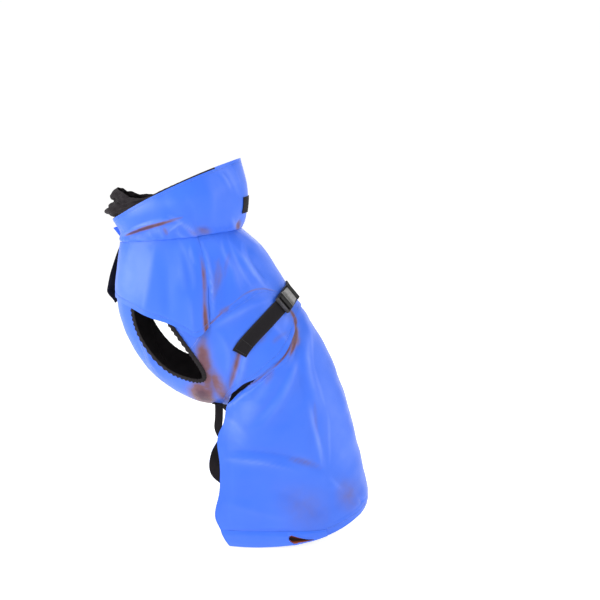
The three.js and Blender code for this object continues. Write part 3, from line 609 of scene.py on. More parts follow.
def wall_piece(name, inner, outer, materials, closed=False, rims=(0, 0, 0), edge_rows=0, edge_columns=None,
               outer_dark=None, attributes=None):
    """Closed wall between two grids of points. Slot 0 is the outer side and slot 1 the inner side. The rims
    are the slots of the first row's edge, the last row's edge and the two side edges; edge_rows counts
    the outer rows at the first end that take its edge's slot, in the chosen columns."""
    columns, rows = inner.shape[:2]
    cells = columns if closed else columns - 1
    column, row = np.meshgrid(np.arange(cells), np.arange(rows - 1), indexing="ij")
    column, row = column.ravel(), row.ravel()
    square = np.stack([column, column + 1, column + 1, column]), np.stack([row, row, row + 1, row + 1])
    end = np.arange(cells)
    parts = []
    chosen = np.ones(columns, bool) if edge_columns is None else edge_columns
    outer_slot = np.where((row < edge_rows) & chosen[column], rims[0], 0)
    # Outer faces in the marked cells take slot 1, the black inside, as a patch of painted shade
    if outer_dark is not None:
        outer_slot = np.where(outer_dark[column, row], 1, outer_slot)
    parts.append((np.ones((4, len(row)), int), square[0], square[1], outer_slot))
    flip = [0, 3, 2, 1]
    parts.append((np.zeros((4, len(row)), int), square[0][flip], square[1][flip], np.ones(len(row), int)))
    for at, layers, edge in ((0, (0, 0, 1, 1), rims[0]), (rows - 1, (0, 1, 1, 0), rims[1])):
        across = np.stack([end, end + (at == 0), end + 1, end + (at != 0)])
        layer = np.repeat(np.array(layers)[:, None], cells, axis=1)
        parts.append((layer, across, np.full((4, cells), at), np.where(chosen[:cells], edge, 0)))
    if not closed:
        down = np.arange(rows - 1)
        for at, layers in ((0, (0, 1, 1, 0)), (columns - 1, (0, 0, 1, 1))):
            along = np.stack([down, down + (at != 0), down + 1, down + (at == 0)])
            layer = np.repeat(np.array(layers)[:, None], rows - 1, axis=1)
            parts.append((layer, np.full((4, rows - 1), at), along, np.full(rows - 1, rims[2])))
    layer, across, along, slots = (
        np.concatenate([part[index] for part in parts], axis=-1) for index in range(4))
    faces = ((layer * columns + across % columns) * rows + along).T
    points = np.concatenate([inner.reshape(-1, 3), outer.reshape(-1, 3)])
    flat_map = cloth_map(outer, closed)[across, along].transpose(1, 0, 2)
    corners = points[faces]
    volume = np.einsum("ij,ij->i", corners[:, 0], np.cross(corners[:, 1], corners[:, 2]))
    volume += np.einsum("ij,ij->i", corners[:, 0], np.cross(corners[:, 2], corners[:, 3]))
    if volume.sum() < 0:
        faces, flat_map = faces[:, ::-1], flat_map[:, ::-1]
    doubled = {label: np.tile(values.ravel(), 2) for label, values in (attributes or {}).items()}
    return make_piece(name, points, faces, materials, slots, flat_map.reshape(-1, 2), doubled)


SEWN = {"blue": [], "black": []}
STITCH = {"half_length": 1.5, "pitch": 4.0, "half_width": 0.35, "stand": 0.2, "half_height": 0.25}


def sewn_line(color, grid, lift, from_edge, reach, at_last=True, chosen=None):
    """Keeps a line of sewing on the outer side of a piece, at a distance from its first or last row."""
    outer = grid.raised(lift)
    rows = outer.shape[1]
    spacing = np.maximum(from_edge.max(axis=1) / (rows - 1), 0.1)
    place = np.clip(reach / spacing, 0, rows - 1.001)
    place = rows - 1.001 - place if at_last else place
    before = place.astype(int)[:, None, None]
    share = (place % 1)[:, None, None]
    pair = [np.take_along_axis(values, before + step, axis=1)[:, 0]
            for values in (outer, grid.normal) for step in (0, 1)]
    keep = slice(None) if chosen is None else chosen
    line = (pair[0] * (1 - share[:, 0]) + pair[1] * share[:, 0])[keep]
    SEWN[color].append((line, unit(pair[2] * (1 - share[:, 0]) + pair[3] * share[:, 0])[keep]))


def stitches(name, color, material):
    """Threads of the kept lines: short bars 3 mm long and 1 mm apart, in six faces each."""
    corners = []
    for line, normal in SEWN[color]:
        steps = np.concatenate([[0], np.cumsum(np.linalg.norm(np.diff(line, axis=0), axis=-1))])
        places = np.arange(2, steps[-1] - 2, STITCH["pitch"])
        centre, ahead, behind, up = (
            np.stack([np.interp(places + shift, steps, values[:, axis]) for axis in range(3)], axis=-1)
            for values, shift in ((line, 0), (line, 1), (line, -1), (normal, 0)))
        forward, up = unit(ahead - behind), unit(up)
        across = np.cross(forward, up)
        sides = [(a, b, c) for c in (-1, 1) for a, b in ((-1, -1), (1, -1), (1, 1), (-1, 1))]
        corners.append(np.stack([
            centre + forward * STITCH["half_length"] * a + across * STITCH["half_width"] * b
            + up * (STITCH["stand"] + STITCH["half_height"] * c) for a, b, c in sides], axis=1))
    points = np.concatenate(corners)
    box = np.array([(3, 2, 1, 0), (4, 5, 6, 7), (0, 1, 5, 4), (1, 2, 6, 5), (2, 3, 7, 6), (3, 0, 4, 7)])
    faces = (np.arange(len(points))[:, None, None] * 8 + box[None]).reshape(-1, 4)
    piece = make_piece(name, points.reshape(-1, 3), faces, [material], crisp=0)
    declare(piece, None)


def declare(piece, node):
    """Hangs a piece on the root body and hides the imported solid of its node, if it names one."""
    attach(piece, "root")
    if node:
        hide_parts(node)


def column_grid(angles, first, last, length):
    """Along and angle of each point: each column runs evenly from its first to its last place."""
    first, last = (np.broadcast_to(place, angles.shape)[:, None] for place in (first, last))
    share = np.linspace(0, 1, int(length / STEP) + 1)[None, :]
    along = first + (last - first) * share
    return along, np.broadcast_to(angles[:, None], along.shape)


def even(start, end, step):
    """Even values from start to end, about a step apart."""
    return np.linspace(start, end, max(int(round(abs(end - start) / step)), 1) + 1)


def mirrored(angles):
    """The same angles on both sides of the spine."""
    return np.concatenate([-angles[:0:-1], angles])


def round_angles():
    """Angles along the armhole, closer at both of its ends."""
    turn = np.linspace(0, np.pi, 31)
    return ARMHOLE["rear"] + (ARMHOLE["front"] - ARMHOLE["rear"]) * (1 - np.cos(turn)) / 2


BACK_ANGLES = even(0, ARMHOLE["rear"], 1.5)
ARMHOLE_ANGLES = round_angles()
CHEST_ANGLES = even(ARMHOLE["front"], 180, 1.6)


class Finish:
    """A material under construction: its shader, its nodes and short ways to join them."""

    def __init__(self, name, color, roughness, sheen=0.0, level=0.5):
        self.material = bpy.data.materials.new(name)
        self.material.use_nodes = True
        self.tree = self.material.node_tree
        self.shader = self.tree.nodes["Principled BSDF"]
        self.shader.inputs["Base Color"].default_value = (*color, 1)
        self.shader.inputs["Roughness"].default_value = roughness
        self.shader.inputs["Sheen Weight"].default_value = sheen
        self.shader.inputs["Specular IOR Level"].default_value = level
        self.coordinates = self.node("ShaderNodeTexCoord")
        self.normal = None

    def node(self, kind, **settings):
        made = self.tree.nodes.new(kind)
        for name, value in settings.items():
            if hasattr(made, name):
                setattr(made, name, value)
            else:
                made.inputs[name.replace("_", " ")].default_value = value
        return made

    def join(self, source, target):
        self.tree.links.new(source, target)

    def feed(self, value, socket):
        """Gives a socket its colour or its number, or joins a node's output to it."""
        if isinstance(value, tuple):
            socket.default_value = (*value, 1)
        elif isinstance(value, (int, float)):
            socket.default_value = value
        else:
            self.join(value, socket)

    def noise(self, scale, detail=2.0, stretch=(1, 1, 1)):
        """Soft noise on the object's own coordinates, stretched along an axis."""
        place = self.node("ShaderNodeMapping")
        place.inputs["Scale"].default_value = stretch
        self.join(self.coordinates.outputs["Object"], place.inputs["Vector"])
        texture = self.node("ShaderNodeTexNoise", Scale=scale, Detail=detail)
        self.join(place.outputs["Vector"], texture.inputs["Vector"])
        return texture.outputs["Fac"]

    def bands(self, scale, direction, turn=0.0):
        """Even bands across the flat map, as rows of threads."""
        place = self.node("ShaderNodeMapping")
        place.inputs["Rotation"].default_value = (0, 0, turn)
        self.join(self.coordinates.outputs["UV"], place.inputs["Vector"])
        texture = self.node("ShaderNodeTexWave", bands_direction=direction, Scale=scale, Distortion=0.4)
        self.join(place.outputs["Vector"], texture.inputs["Vector"])
        return texture.outputs["Fac"]

    def math(self, operation, first, second=0.5):
        made = self.node("ShaderNodeMath", operation=operation)
        for socket, value in zip(made.inputs, (first, second)):
            self.feed(value, socket)
        return made.outputs[0]

    def blend(self, share, first, second):
        """Mix of two colours by a share."""
        made = self.node("ShaderNodeMix", data_type="RGBA", blend_type="MIX")
        sockets = made.inputs["Factor"], made.inputs[6], made.inputs[7]
        for socket, value in zip(sockets, (share, first, second)):
            self.feed(value, socket)
        return made.outputs[2]

    def ramp(self, value, stops):
        """Colour from a value, between named stops."""
        made = self.node("ShaderNodeValToRGB")
        elements = made.color_ramp.elements
        while len(elements) < len(stops):
            elements.new(0.5)
        for element, (place, color) in zip(elements, stops):
            element.position = place
            element.color = (*color, 1)
        self.join(value, made.inputs["Fac"])
        return made.outputs["Color"]

    def color(self, value):
        self.join(value, self.shader.inputs["Base Color"])

    def roughness(self, value, low, high):
        made = self.node("ShaderNodeMapRange")
        made.inputs["To Min"].default_value = low
        made.inputs["To Max"].default_value = high
        self.join(value, made.inputs["Value"])
        self.join(made.outputs[0], self.shader.inputs["Roughness"])

    def relief(self, height, distance, strength=1.0):
        """Bump from a height, on top of the bumps before it."""
        made = self.node("ShaderNodeBump", Strength=strength, Distance=distance)
        self.join(height, made.inputs["Height"])
        if self.normal is not None:
            self.join(self.normal, made.inputs["Normal"])
        self.normal = made.outputs["Normal"]
        self.join(self.normal, self.shader.inputs["Normal"])

    def attribute(self, name):
        return self.node("ShaderNodeAttribute", attribute_name=name).outputs["Fac"]


def screen(red, green, blue):
    """Linear colour from the 0-255 values that a screen shows."""
    share = np.array([red, green, blue]) / 255
    linear = np.where(share <= 0.04045, share / 12.92, ((share + 0.055) / 1.055) ** 2.4)
    return tuple(float(value) for value in linear)


def coated_cloth():
    """Blue coated cloth: fine plain weave under a smooth film, soft wrinkles, painted highlights on the
    crests and painted shade, mauve to russet to near black, in the creases.
    """
    finish = Finish("coated_cloth_blue", (0.028, 0.14, 0.76), 0.42, sheen=0.05, level=0.5)
    wide = finish.noise(7, 2)
    streaks = finish.noise(26, 3, (1, 1, 0.35))
    blue = finish.ramp(wide, [(0.3, (0.022, 0.128, 0.74)), (0.7, (0.034, 0.152, 0.8))])
    blue = finish.blend(finish.math("MULTIPLY", streaks, 0.16), blue, (0.09, 0.22, 0.86))
    # Painted highlight: paler blue along the crests and the broad lit places
    crest_highlight = finish.math("MULTIPLY", finish.attribute("crest_highlight"), finish.math("ADD", finish.noise(45, 3), 0.5))
    blue = finish.blend(finish.math("MINIMUM", crest_highlight, 0.8), blue, (0.17, 0.29, 0.95))
    # Painted shade in the creases and under edges: mauve, then russet, then near black as it deepens
    crease_shade = finish.attribute("crease_shade")
    mottled = finish.math("MULTIPLY", crease_shade, finish.math("ADD", finish.noise(60, 3), 0.55))
    russet = finish.ramp(mottled, [
        (0.0, (0.1, 0.13, 0.5)), (0.35, (0.15, 0.1, 0.2)), (0.7, (0.17, 0.055, 0.04)),
        (1.0, (0.09, 0.02, 0.012)),
    ])
    share = finish.math("MINIMUM", finish.math("MULTIPLY", mottled, 1.5), 0.94)
    finish.color(finish.blend(share, blue, russet))
    finish.roughness(streaks, 0.36, 0.5)
    finish.relief(finish.noise(34, 3, (1, 1, 0.6)), 0.0016, 0.35)
    weave = finish.math("MULTIPLY", finish.bands(330, "X"), finish.bands(330, "Y"))
    finish.relief(weave, 0.00012, 0.35)
    return finish.material


def black_lining():
    """Matte black lining with a fine knit."""
    finish = Finish("black_lining", screen(33, 29, 32), 0.86, sheen=0.03, level=0.1)
    wide = finish.noise(30, 3)
    finish.color(finish.ramp(wide, [(0.3, screen(26, 23, 26)), (0.7, screen(46, 41, 44))]))
    knit = finish.math("MULTIPLY", finish.bands(180, "X"), finish.bands(140, "Y", 0.3))
    finish.relief(knit, 0.0003, 0.5)
    return finish.material


def elastic_cloth(name, color, ribs=170):
    """Black elastic: narrow ribs along its length, crossed by short threads."""
    finish = Finish(name, screen(*color), 0.85, sheen=0.03, level=0.12)
    rib = finish.bands(ribs, "Y")
    cross = finish.bands(ribs * 1.7, "X")
    thread = finish.math("MULTIPLY", rib, cross)
    lighter = tuple(min(value + 22, 255) for value in color)
    finish.color(finish.ramp(thread, [(0.1, screen(*color)), (0.9, screen(*lighter))]))
    finish.relief(thread, 0.0004, 0.6)
    return finish.material


def webbing_cloth():
    """Woven webbing: slanted ribs that meet in a row of points, as in a herringbone."""
    finish = Finish("black_webbing", screen(30, 28, 31), 0.85, sheen=0.03, level=0.12)
    slanted = finish.math("MAXIMUM", finish.bands(150, "DIAGONAL"), finish.bands(150, "DIAGONAL", 1.5708))
    edge = finish.attribute("edge")
    finish.color(finish.blend(finish.math("MULTIPLY", edge, 0.6), screen(29, 27, 30), screen(50, 47, 50)))
    finish.relief(slanted, 0.0004, 0.6)
    return finish.material


def thread_finish(name, color):
    """Twisted sewing thread."""
    finish = Finish(name, screen(*color), 0.6, sheen=0.1, level=0.4)
    darker = tuple(value * 0.8 for value in color)
    finish.color(finish.ramp(finish.noise(900, 1), [(0.3, screen(*darker)), (0.7, screen(*color))]))
    return finish.material


def moulded_plastic(name, color, rough):
    """Moulded plastic with a fine grain and paler worn patches spread at random."""
    finish = Finish(name, screen(*color), rough, level=0.3)
    wear = finish.noise(220, 4)
    lighter = tuple(min(value + 26, 255) for value in color)
    finish.color(finish.ramp(wear, [(0.35, screen(*color)), (0.8, screen(*lighter))]))
    finish.roughness(wear, rough - 0.08, rough + 0.1)
    finish.relief(finish.noise(1500, 1), 0.00008, 0.4)
    return finish.material


def hem_inside_cloth():
    """Inside of the open hem, painted as shade: near black deep inside, brown towards its lips."""
    finish = Finish("hem_inside", screen(60, 26, 14), 0.85, level=0.2)
    depth = finish.attribute("depth")
    finish.color(finish.ramp(depth, [(0.0, screen(158, 88, 52)), (0.35, screen(120, 52, 26)),
                                      (0.6, screen(58, 20, 8)), (0.95, screen(28, 8, 3))]))
    finish.relief(finish.noise(120, 2), 0.0005, 0.4)
    return finish.material


BLUE = coated_cloth()
LINING = black_lining()
KNIT = elastic_cloth("black_knit", (36, 32, 35), 120)
ELASTIC = elastic_cloth("black_elastic", (34, 31, 33))
WEBBING = webbing_cloth()
BLUE_THREAD = thread_finish("blue_thread", (92, 138, 246))
BLACK_THREAD = thread_finish("black_thread", (44, 42, 45))
BLACK_PLASTIC = moulded_plastic("black_plastic", (15, 14, 14), 0.42)
GREY_PLASTIC = moulded_plastic("grey_plastic", (128, 127, 126), 0.45)
DIM_PLASTIC = moulded_plastic("dim_plastic", (52, 51, 55), 0.45)
HEM_INSIDE = hem_inside_cloth()


def pucker(grid, edge_mm, size=0.5, reach=9.0, count=46):
    """Small gathers beside a seam: waves round the body that die away from the edge."""
    wave = np.sin(np.radians(grid.angle) * count + 1.3 * np.sin(np.radians(grid.angle) * 7))
    return size * wave * np.exp(-edge_mm / reach)


def seam_dip(edge_mm):
    """The cloth rolls down into a seam at its sewn edge."""
    return -0.5 * bell(edge_mm, 2.4)


def body_cloth(along, angle):
    """Grid on the body and the height of its cloth there, with folds and low waves."""
    grid = Grid(raw_body, along, angle)
    side = smooth_step(np.abs(np.sin(np.radians(angle))) / 0.35)
    return grid, folded(grid, NEAR_BODY_FOLDS, FAR_BODY_FOLDS) + 0.7 * ripple(grid.base, 26, 1.4) * side


def blue_wall(name, grid, lift, outer, folds, shine, crease_shade, closed=False, **wall):
    """Wall of blue cloth, black inside, with painted shade in its creases and painted highlights on its
    folds.
    """
    marks = {"crease_shade": crease_shade, "crest_highlight": painted_highlights(grid, *folds, shine)}
    return wall_piece(name, grid.raised(lift), grid.raised(outer), [BLUE, LINING], closed,
                      attributes=marks, **wall)


def panel(name, angles, last, length):
    """Panel of the body from the neck seam to its lower edge, with dipped seams and its painted streaks of
    shade and highlight.
    """
    along, angle = column_grid(angles, 0, last, length)
    grid, lift = body_cloth(along, angle)
    for edge_mm in edge_distance(grid.base):
        lift = lift + seam_dip(edge_mm) + pucker(grid, edge_mm, 0.35)
    return blue_wall(name, grid, lift, lift + CLOTH, (NEAR_BODY_FOLDS, FAR_BODY_FOLDS), BODY_SHINE,
                     fainter_far(BODY_SHADES, grid), rims=(0, 1, 1))


SEAM_HALF = 0.001
SEAM_OVERLAP = 0.016
HEM_LINE = {"band": 9.0, "cape": 10.0, "skirt": 22.0}


def yoke_lower_edge(size):
    """Lower edge of the back: the slanted seam, then over the armhole."""
    over = armhole_middle(size) - armhole_half(size)
    return np.where(size <= ARMHOLE["rear"], back_seam_along(size), over) - SEAM_HALF


def band_front_edge(size):
    """Front edge of the belly band: the slanted seam, under the armhole, then the chest seam."""
    under = armhole_middle(size) + armhole_half(size)
    ahead = np.where(size < ARMHOLE["front"], under, chest_seam_along(size) + SEAM_OVERLAP)
    return np.where(size <= ARMHOLE["rear"], back_seam_along(size) + SEAM_HALF, ahead)


def back_yoke():
    """Back panel from the neck seam to the slanted seams."""
    to_shoulder = ARMHOLE_ANGLES[ARMHOLE_ANGLES < SHOULDER_SEAM - 0.3]
    angles = mirrored(np.concatenate([BACK_ANGLES, to_shoulder[1:], [SHOULDER_SEAM - 0.12]]))
    last = yoke_lower_edge(np.abs(angles))
    piece = panel("yoke_cloth", angles, last, 180)
    declare(piece, "back_yoke")


def chest_bib():
    """Chest panel between the armholes."""
    from_shoulder = ARMHOLE_ANGLES[ARMHOLE_ANGLES > SHOULDER_SEAM + 0.3]
    side = np.concatenate([[SHOULDER_SEAM + 0.12], from_shoulder, CHEST_ANGLES[1:]])
    angles = np.concatenate([side, 360 - side[-2::-1]])
    size = np.where(angles > 180, 360 - angles, angles)
    over = armhole_middle(size) - armhole_half(size)
    last = np.where(size < ARMHOLE["front"], over, chest_seam_along(size) - SEAM_OVERLAP)
    piece = panel("chest_cloth", angles, last, 300)
    declare(piece, "chest_bib")


BAND_COLUMNS = np.concatenate([BACK_ANGLES, ARMHOLE_ANGLES[1:], CHEST_ANGLES[1:]])


def band_edge_lift(from_last, size):
    """The belly band's rear edge stands a little off the skirt, most beside the buckle."""
    open_stretch = bell(size, 16, 40)
    return (0.6 + 2.2 * open_stretch) * bell(from_last, 12)


def belly_band():
    """Ring from the slanted back seams and the chest seam to the rear edge."""
    angles = mirrored(BAND_COLUMNS)[1:]
    size = np.abs(angles)
    along, angle = column_grid(angles, band_front_edge(size), rear_edge_along(size), 150)
    grid, lift = body_cloth(along, angle)
    from_first, from_last = edge_distance(grid.base)
    kept = smooth_step(from_last / 26)
    lift = np.where(lift < 0, lift * kept, lift)
    lift = lift + seam_dip(from_first) + pucker(grid, from_first, 0.35)
    lift = lift + band_edge_lift(from_last, np.abs(angle))
    lift -= 0.5 * bell(from_last, 1.8, HEM_LINE["band"])
    sewn_line("blue", grid, lift + CLOTH, from_last, HEM_LINE["band"])
    sewn_line("blue", grid, lift + CLOTH, from_first, 4.5, False, np.abs(angles) < ARMHOLE["rear"])
    # Painted shade of the creases and the shaded belly, as strong on the far side as on the near one, and
    # painted highlights
    piece = blue_wall("band_cloth", grid, lift, lift + CLOTH, (NEAR_BODY_FOLDS, FAR_BODY_FOLDS), BODY_SHINE,
                      painted_streak_strength(BODY_SHADES, grid.base), True, rims=(1, 0, 0))
    declare(piece, "belly_band")


def collar():
    """Funnel collar of double cloth: its overlap hangs over a deep fold in front, black along the edge."""
    angles = even(-180, 180, 1.5)[1:]
    along, angle = column_grid(angles, 0, len(COLLAR["half"]) - 1 + 0.07, 130)
    grid = Grid(raw_collar, along, angle)
    from_first, from_last = edge_distance(grid.base)
    fold = folded(grid, NEAR_COLLAR_FOLDS, FAR_COLLAR_FOLDS)
    lift = (fold + 0.9 * ripple(grid.base, 30, 0.6)) * smooth_step(from_last / 14)
    lift += 1.0 * bell(from_first, 5) * np.sin(np.radians(angle) * 3 + 1) ** 2
    lift += np.maximum(pucker(grid, from_last, 0.8, 12, 38), -0.2) * smooth_step(from_last / 5)
    size = np.abs(angle)
    over_cape = smooth_step((size - 66) / 8) * smooth_step((180 - size) / 6)
    lift += (2.3 + 3.1 * over_cape) * bell(from_last, 4 + 5 * over_cape)
    # Painted shade under the overlap and in the creases, weaker on the far side; painted highlights on the
    # crests
    crease_shade = painted_streak_strength(COLLAR_SHADES, grid.base) * np.where(grid.base[..., 1] < 0, 1, 0.7)
    outer = lift + DOUBLE_CLOTH - 1.9 * bell(from_last, 2.5)
    sewn_line("blue", grid, outer, from_first, 8, False)
    crest_highlight = painted_highlights(grid, NEAR_COLLAR_FOLDS, FAR_COLLAR_FOLDS, COLLAR_SHINE)
    piece = wall_piece("collar_cloth", grid.raised(lift), grid.raised(outer), [BLUE, LINING, LINING],
                       True, rims=(2, 0, 0), edge_rows=1, edge_columns=np.abs(angles) > 50,
                       attributes={"crease_shade": crease_shade, "crest_highlight": crest_highlight})
    declare(piece, "collar")


def raw_inner_collar(along, angle):
    """The inner collar's form with its gathered, crumpled front."""
    point = section_point(INNER_COLLAR, 180, along, angle)
    turn = np.radians(angle)
    front = np.maximum(-np.cos(turn), 0) * np.clip(4 - along, 0, 1)
    point[..., 0] += 2.2 * front * np.sin(9 * turn + 1.3 * along)
    return point


def inner_collar():
    """Black knitted neck tube, crumpled in front where it shows above the blue edge."""
    angles = even(-180, 180, 1.5)[1:]
    along, angle = column_grid(angles, 0, len(INNER_COLLAR["half"]) - 1, 150)
    grid = Grid(raw_inner_collar, along, angle)
    turn = np.radians(angle)
    front = smooth_step(-np.cos(turn) * 1.4) * np.clip(5.2 - along, 0, 1)
    crumple = 2.6 * np.sin(14 * turn + 3.1 * along + 1.2 * np.sin(5 * turn)) * np.sin(2.4 * along + 2 * turn)
    crumple += 1.6 * np.sin(5.2 * along + 3 * np.sin(6 * turn))
    lift = front * crumple * 0.8 + 0.3 * np.sin(60 * turn) * np.clip(4 - along, 0, 1)
    from_first = edge_distance(grid.base)[0]
    lift += 1.2 * bell(from_first, 3)
    piece = wall_piece("neck_tube", grid.raised(lift), grid.raised(lift + CLOTH), [KNIT, KNIT], True)
    declare(piece, "inner_collar")


CAPE = {"rear_top": 71.0, "rear_drop": 4.1, "front": 171.0, "seam_lift": 2.9, "swell": 9.0}


def cape_angle(across, along):
    """Angle of a column of the cape at its place along the body."""
    rear = CAPE["rear_top"] + CAPE["rear_drop"] * along
    return rear + (CAPE["front"] - rear) * across


def cape(name, node, side, flare, longer, rim):
    """Cap sleeve: it leaves the body at its rear seam, swells over the shoulder and is loose in front,
    where it flares and its lower corner curls back to the body."""
    across, down = np.meshgrid(np.linspace(0, 1, 66), np.linspace(0, 1, 52), indexing="ij")
    lower = seam_along(CAPE_LOWER_EDGE, lambda place: cape_angle(across[:, 0], place), across[:, 0])
    lower = lower + longer * across[:, 0] ** 3
    along = 0.05 + (lower[:, None] - 0.05) * down
    angle = side * cape_angle(across, along)
    grid = Grid(raw_body, along, angle)
    swell = CAPE["swell"] * np.sin(np.pi * np.minimum(across * 1.1, 1)) ** 0.6 * down ** 0.8
    opened = flare * down ** 0.8 * np.maximum((across - 0.45) / 0.55, 0) ** 1.6
    opened *= 1 - 0.6 * smooth_step((down - 0.78) / 0.22)
    drape = folded(grid, NEAR_CAPE_FOLDS, FAR_CAPE_FOLDS) * smooth_step(across * 6) * smooth_step(down * 8)
    wave = 1.3 * np.sin(across * 13 + 0.8) * down ** 2
    lift = CAPE["seam_lift"] + swell + opened + drape + wave + 0.8 * ripple(grid.base, 30, 2.0) * down
    from_last = edge_distance(grid.base)[1]
    lift -= 0.6 * bell(from_last, 1.8, HEM_LINE["cape"])
    from_rear = np.concatenate([np.zeros((1, across.shape[1])), np.cumsum(np.linalg.norm(
        np.diff(grid.base, axis=0), axis=-1), axis=0)])
    lift = np.maximum(lift, 2.4)
    lift += 0.4 * bell(from_rear, 3.0) * smooth_step(down * 3 - 1)
    lift -= 1.0 * bell(from_rear, 4.5, 8) * smooth_step(down * 5)
    sewn_flat = bell(from_rear, 6) * (1 - 0.6 * smooth_step(down * 4 - 1.6))
    lift = np.maximum(lift * (1 - sewn_flat) + 1.9 * sewn_flat, 1.9)
    outer = lift + CLOTH - 1.1 * bell(from_rear, 1.6)
    # Painted shade in a strip along the rear fold, weaker on the far cape
    long = smooth_step((down - 0.12) / 0.3) * (0.75 + 0.25 * np.sin(down * 8))
    strip = bell(from_rear, 2.2 + 3.4 * down, 5.5 + 3 * down)
    crease_shade = (1.0 if side < 0 else 0.6) * long * strip
    sewn_line("blue", grid, lift + CLOTH, from_last, HEM_LINE["cape"])
    piece = blue_wall(name, grid, lift, outer, (NEAR_CAPE_FOLDS, FAR_CAPE_FOLDS), CAPE_SHINE, crease_shade,
                      rims=(rim,) * 3)
    declare(piece, node)


def armhole_place(turn, side):
    """Place along the body and angle on the armhole's edge; the turn runs once round it."""
    angle = ARMHOLE_CENTRE + (ARMHOLE["front"] - ARMHOLE_CENTRE) * np.cos(turn)
    return armhole_middle(angle) + ARMHOLE["half_along"] * np.sin(turn), side * angle


def armhole_binding(name, node, side):
    """Gathered elastic round an armhole: a strip across the edge with about sixty small waves."""
    turn = np.linspace(0, 2 * np.pi, 361)[:-1]
    along, angle = armhole_place(turn, side)
    point = raw_body(along, angle)
    normal = outward(raw_body, along, angle)
    forward = unit(np.roll(point, -1, axis=0) - np.roll(point, 1, axis=0))
    away = unit(np.cross(forward, normal))
    centre = raw_body(armhole_middle(ARMHOLE_CENTRE), side * ARMHOLE_CENTRE)
    away *= np.sign(np.einsum("ij,ij->i", away, point - centre))[:, None]
    reach = np.linspace(-4.5, 4.0, 8)[None, :]
    gather = np.sin(58 * turn + 1.5 * np.sin(5 * turn))[:, None]
    edge = (np.abs(reach + 0.25) / 4.25) ** 2
    spread = reach * (1 + 0.12 * gather * edge)
    height = 2.6 + 0.9 * gather * edge + 0.8 * (1 - edge)
    inner = point[:, None] + away[:, None] * spread[..., None] + normal[:, None] * height[..., None]
    outer = inner + normal[:, None] * 1.4
    piece = wall_piece(name, inner, outer, [ELASTIC, ELASTIC], True)
    declare(piece, node)


def plain_skirt(along, angle):
    """The skirt's plain form: its top is tucked under the belly band, then it follows its own rows."""
    size = np.minimum(np.abs(angle), 180)
    body_along = tuck_along(size) + 0.22 - 0.45 * np.maximum(1 - along, 0)
    under = raw_body(body_along, angle) - outward(raw_body, body_along, angle) * (CLOTH + LAYER_GAP)
    free = section_point(SKIRT, SKIRT_OPEN, along - 1, angle)
    top = section_point(SKIRT, SKIRT_OPEN, np.zeros_like(along), angle)
    share = smooth_step((along - 1) / 2.6)
    past = free + (under - top) * (1 - share)[..., None]
    return np.where((along <= 1)[..., None], under, past)


TUCK_ANGLES = even(0, 125, 0.5)
TUCK_ALONG = rear_edge_along(TUCK_ANGLES)


def tuck_along(size):
    """Belly band's rear edge along the body, read from its curve over the angle."""
    return np.interp(size, TUCK_ANGLES, TUCK_ALONG)


def skirt_cloth(along, angle):
    """Grid on the skirt, and the height of its cloth with folds and low waves."""
    grid = Grid(plain_skirt, along, angle)
    free = smooth_step((along - 1.15) / 1.3)
    lift = folded(grid, NEAR_SKIRT_FOLDS, FAR_SKIRT_FOLDS, free)
    back = smooth_step(1 - np.abs(angle) / 40)
    lift += (1.2 * ripple(grid.base, 40, 3.1) + 0.5 * ripple(grid.base, 17, 0.4)) * free
    lift += 1.4 * free * back * np.sin(along * 1.9 + 0.6) * np.cos(np.radians(angle) * 4)
    return grid, lift


TURNUP = {"from": -SKIRT_OPEN, "to": -56.0, "height": 1.15, "mouth_from": 0.61, "mouth_to": 0.85}
LEAF_EDGE = table("x z", [
    (-60, -350), (-34, -342), (-22, -331), (-17, -325), (-8, -321), (4, -311), (15, -301),
    (29, -286), (36, -280), (60, -262),
])


def leaf_gap(points):
    """How far a point lies above the gap's lower edge in the side view, positive inside the gap."""
    return np.where(points[..., 0] < 34, points[..., 2] - seam_height(LEAF_EDGE, points[..., 0]), -9)


def rear_skirt():
    """Rear skirt down to the ground, open in front, with a turned hem."""
    angles = even(-SKIRT_OPEN, SKIRT_OPEN, 1.2)
    along, angle = column_grid(angles, 0, SKIRT_LAST, 400)
    grid, lift = skirt_cloth(along, angle)
    from_last = edge_distance(grid.base)[1]
    mm_per_degree = 2.0
    front = np.minimum(angle - angles[0], angles[-1] - angle) * mm_per_degree
    lift -= 0.6 * bell(from_last, 2.0, HEM_LINE["skirt"]) * (angle > -50)
    lift -= 0.5 * bell(front, 2.0, 14) * smooth_step(along - 2)
    lift += 0.7 * bell(front, 4) + 0.5 * bell(from_last, 4)
    # Inside the leaf-shaped gap the skirt sinks and its outer face takes the black lining: painted shade of
    # the gap
    gap = leaf_gap(grid.base)
    lift -= 5.0 * smooth_step(gap / 6 + 0.5)
    # Painted shade in the skirt's creases and under the band's edge, weaker on the far side
    crease_shade = painted_streak_strength(SKIRT_SHADES, grid.base) * np.where(grid.base[..., 1] < 0, 1, 0.6)
    sewn_line("blue", grid, lift + CLOTH, from_last, HEM_LINE["skirt"], True, angles > TURNUP["to"])
    piece = blue_wall("skirt_cloth", grid, lift, lift + CLOTH, (NEAR_SKIRT_FOLDS, FAR_SKIRT_FOLDS),
                      SKIRT_SHINE, crease_shade, outer_dark=gap > 0)
    declare(piece, "rear_skirt")


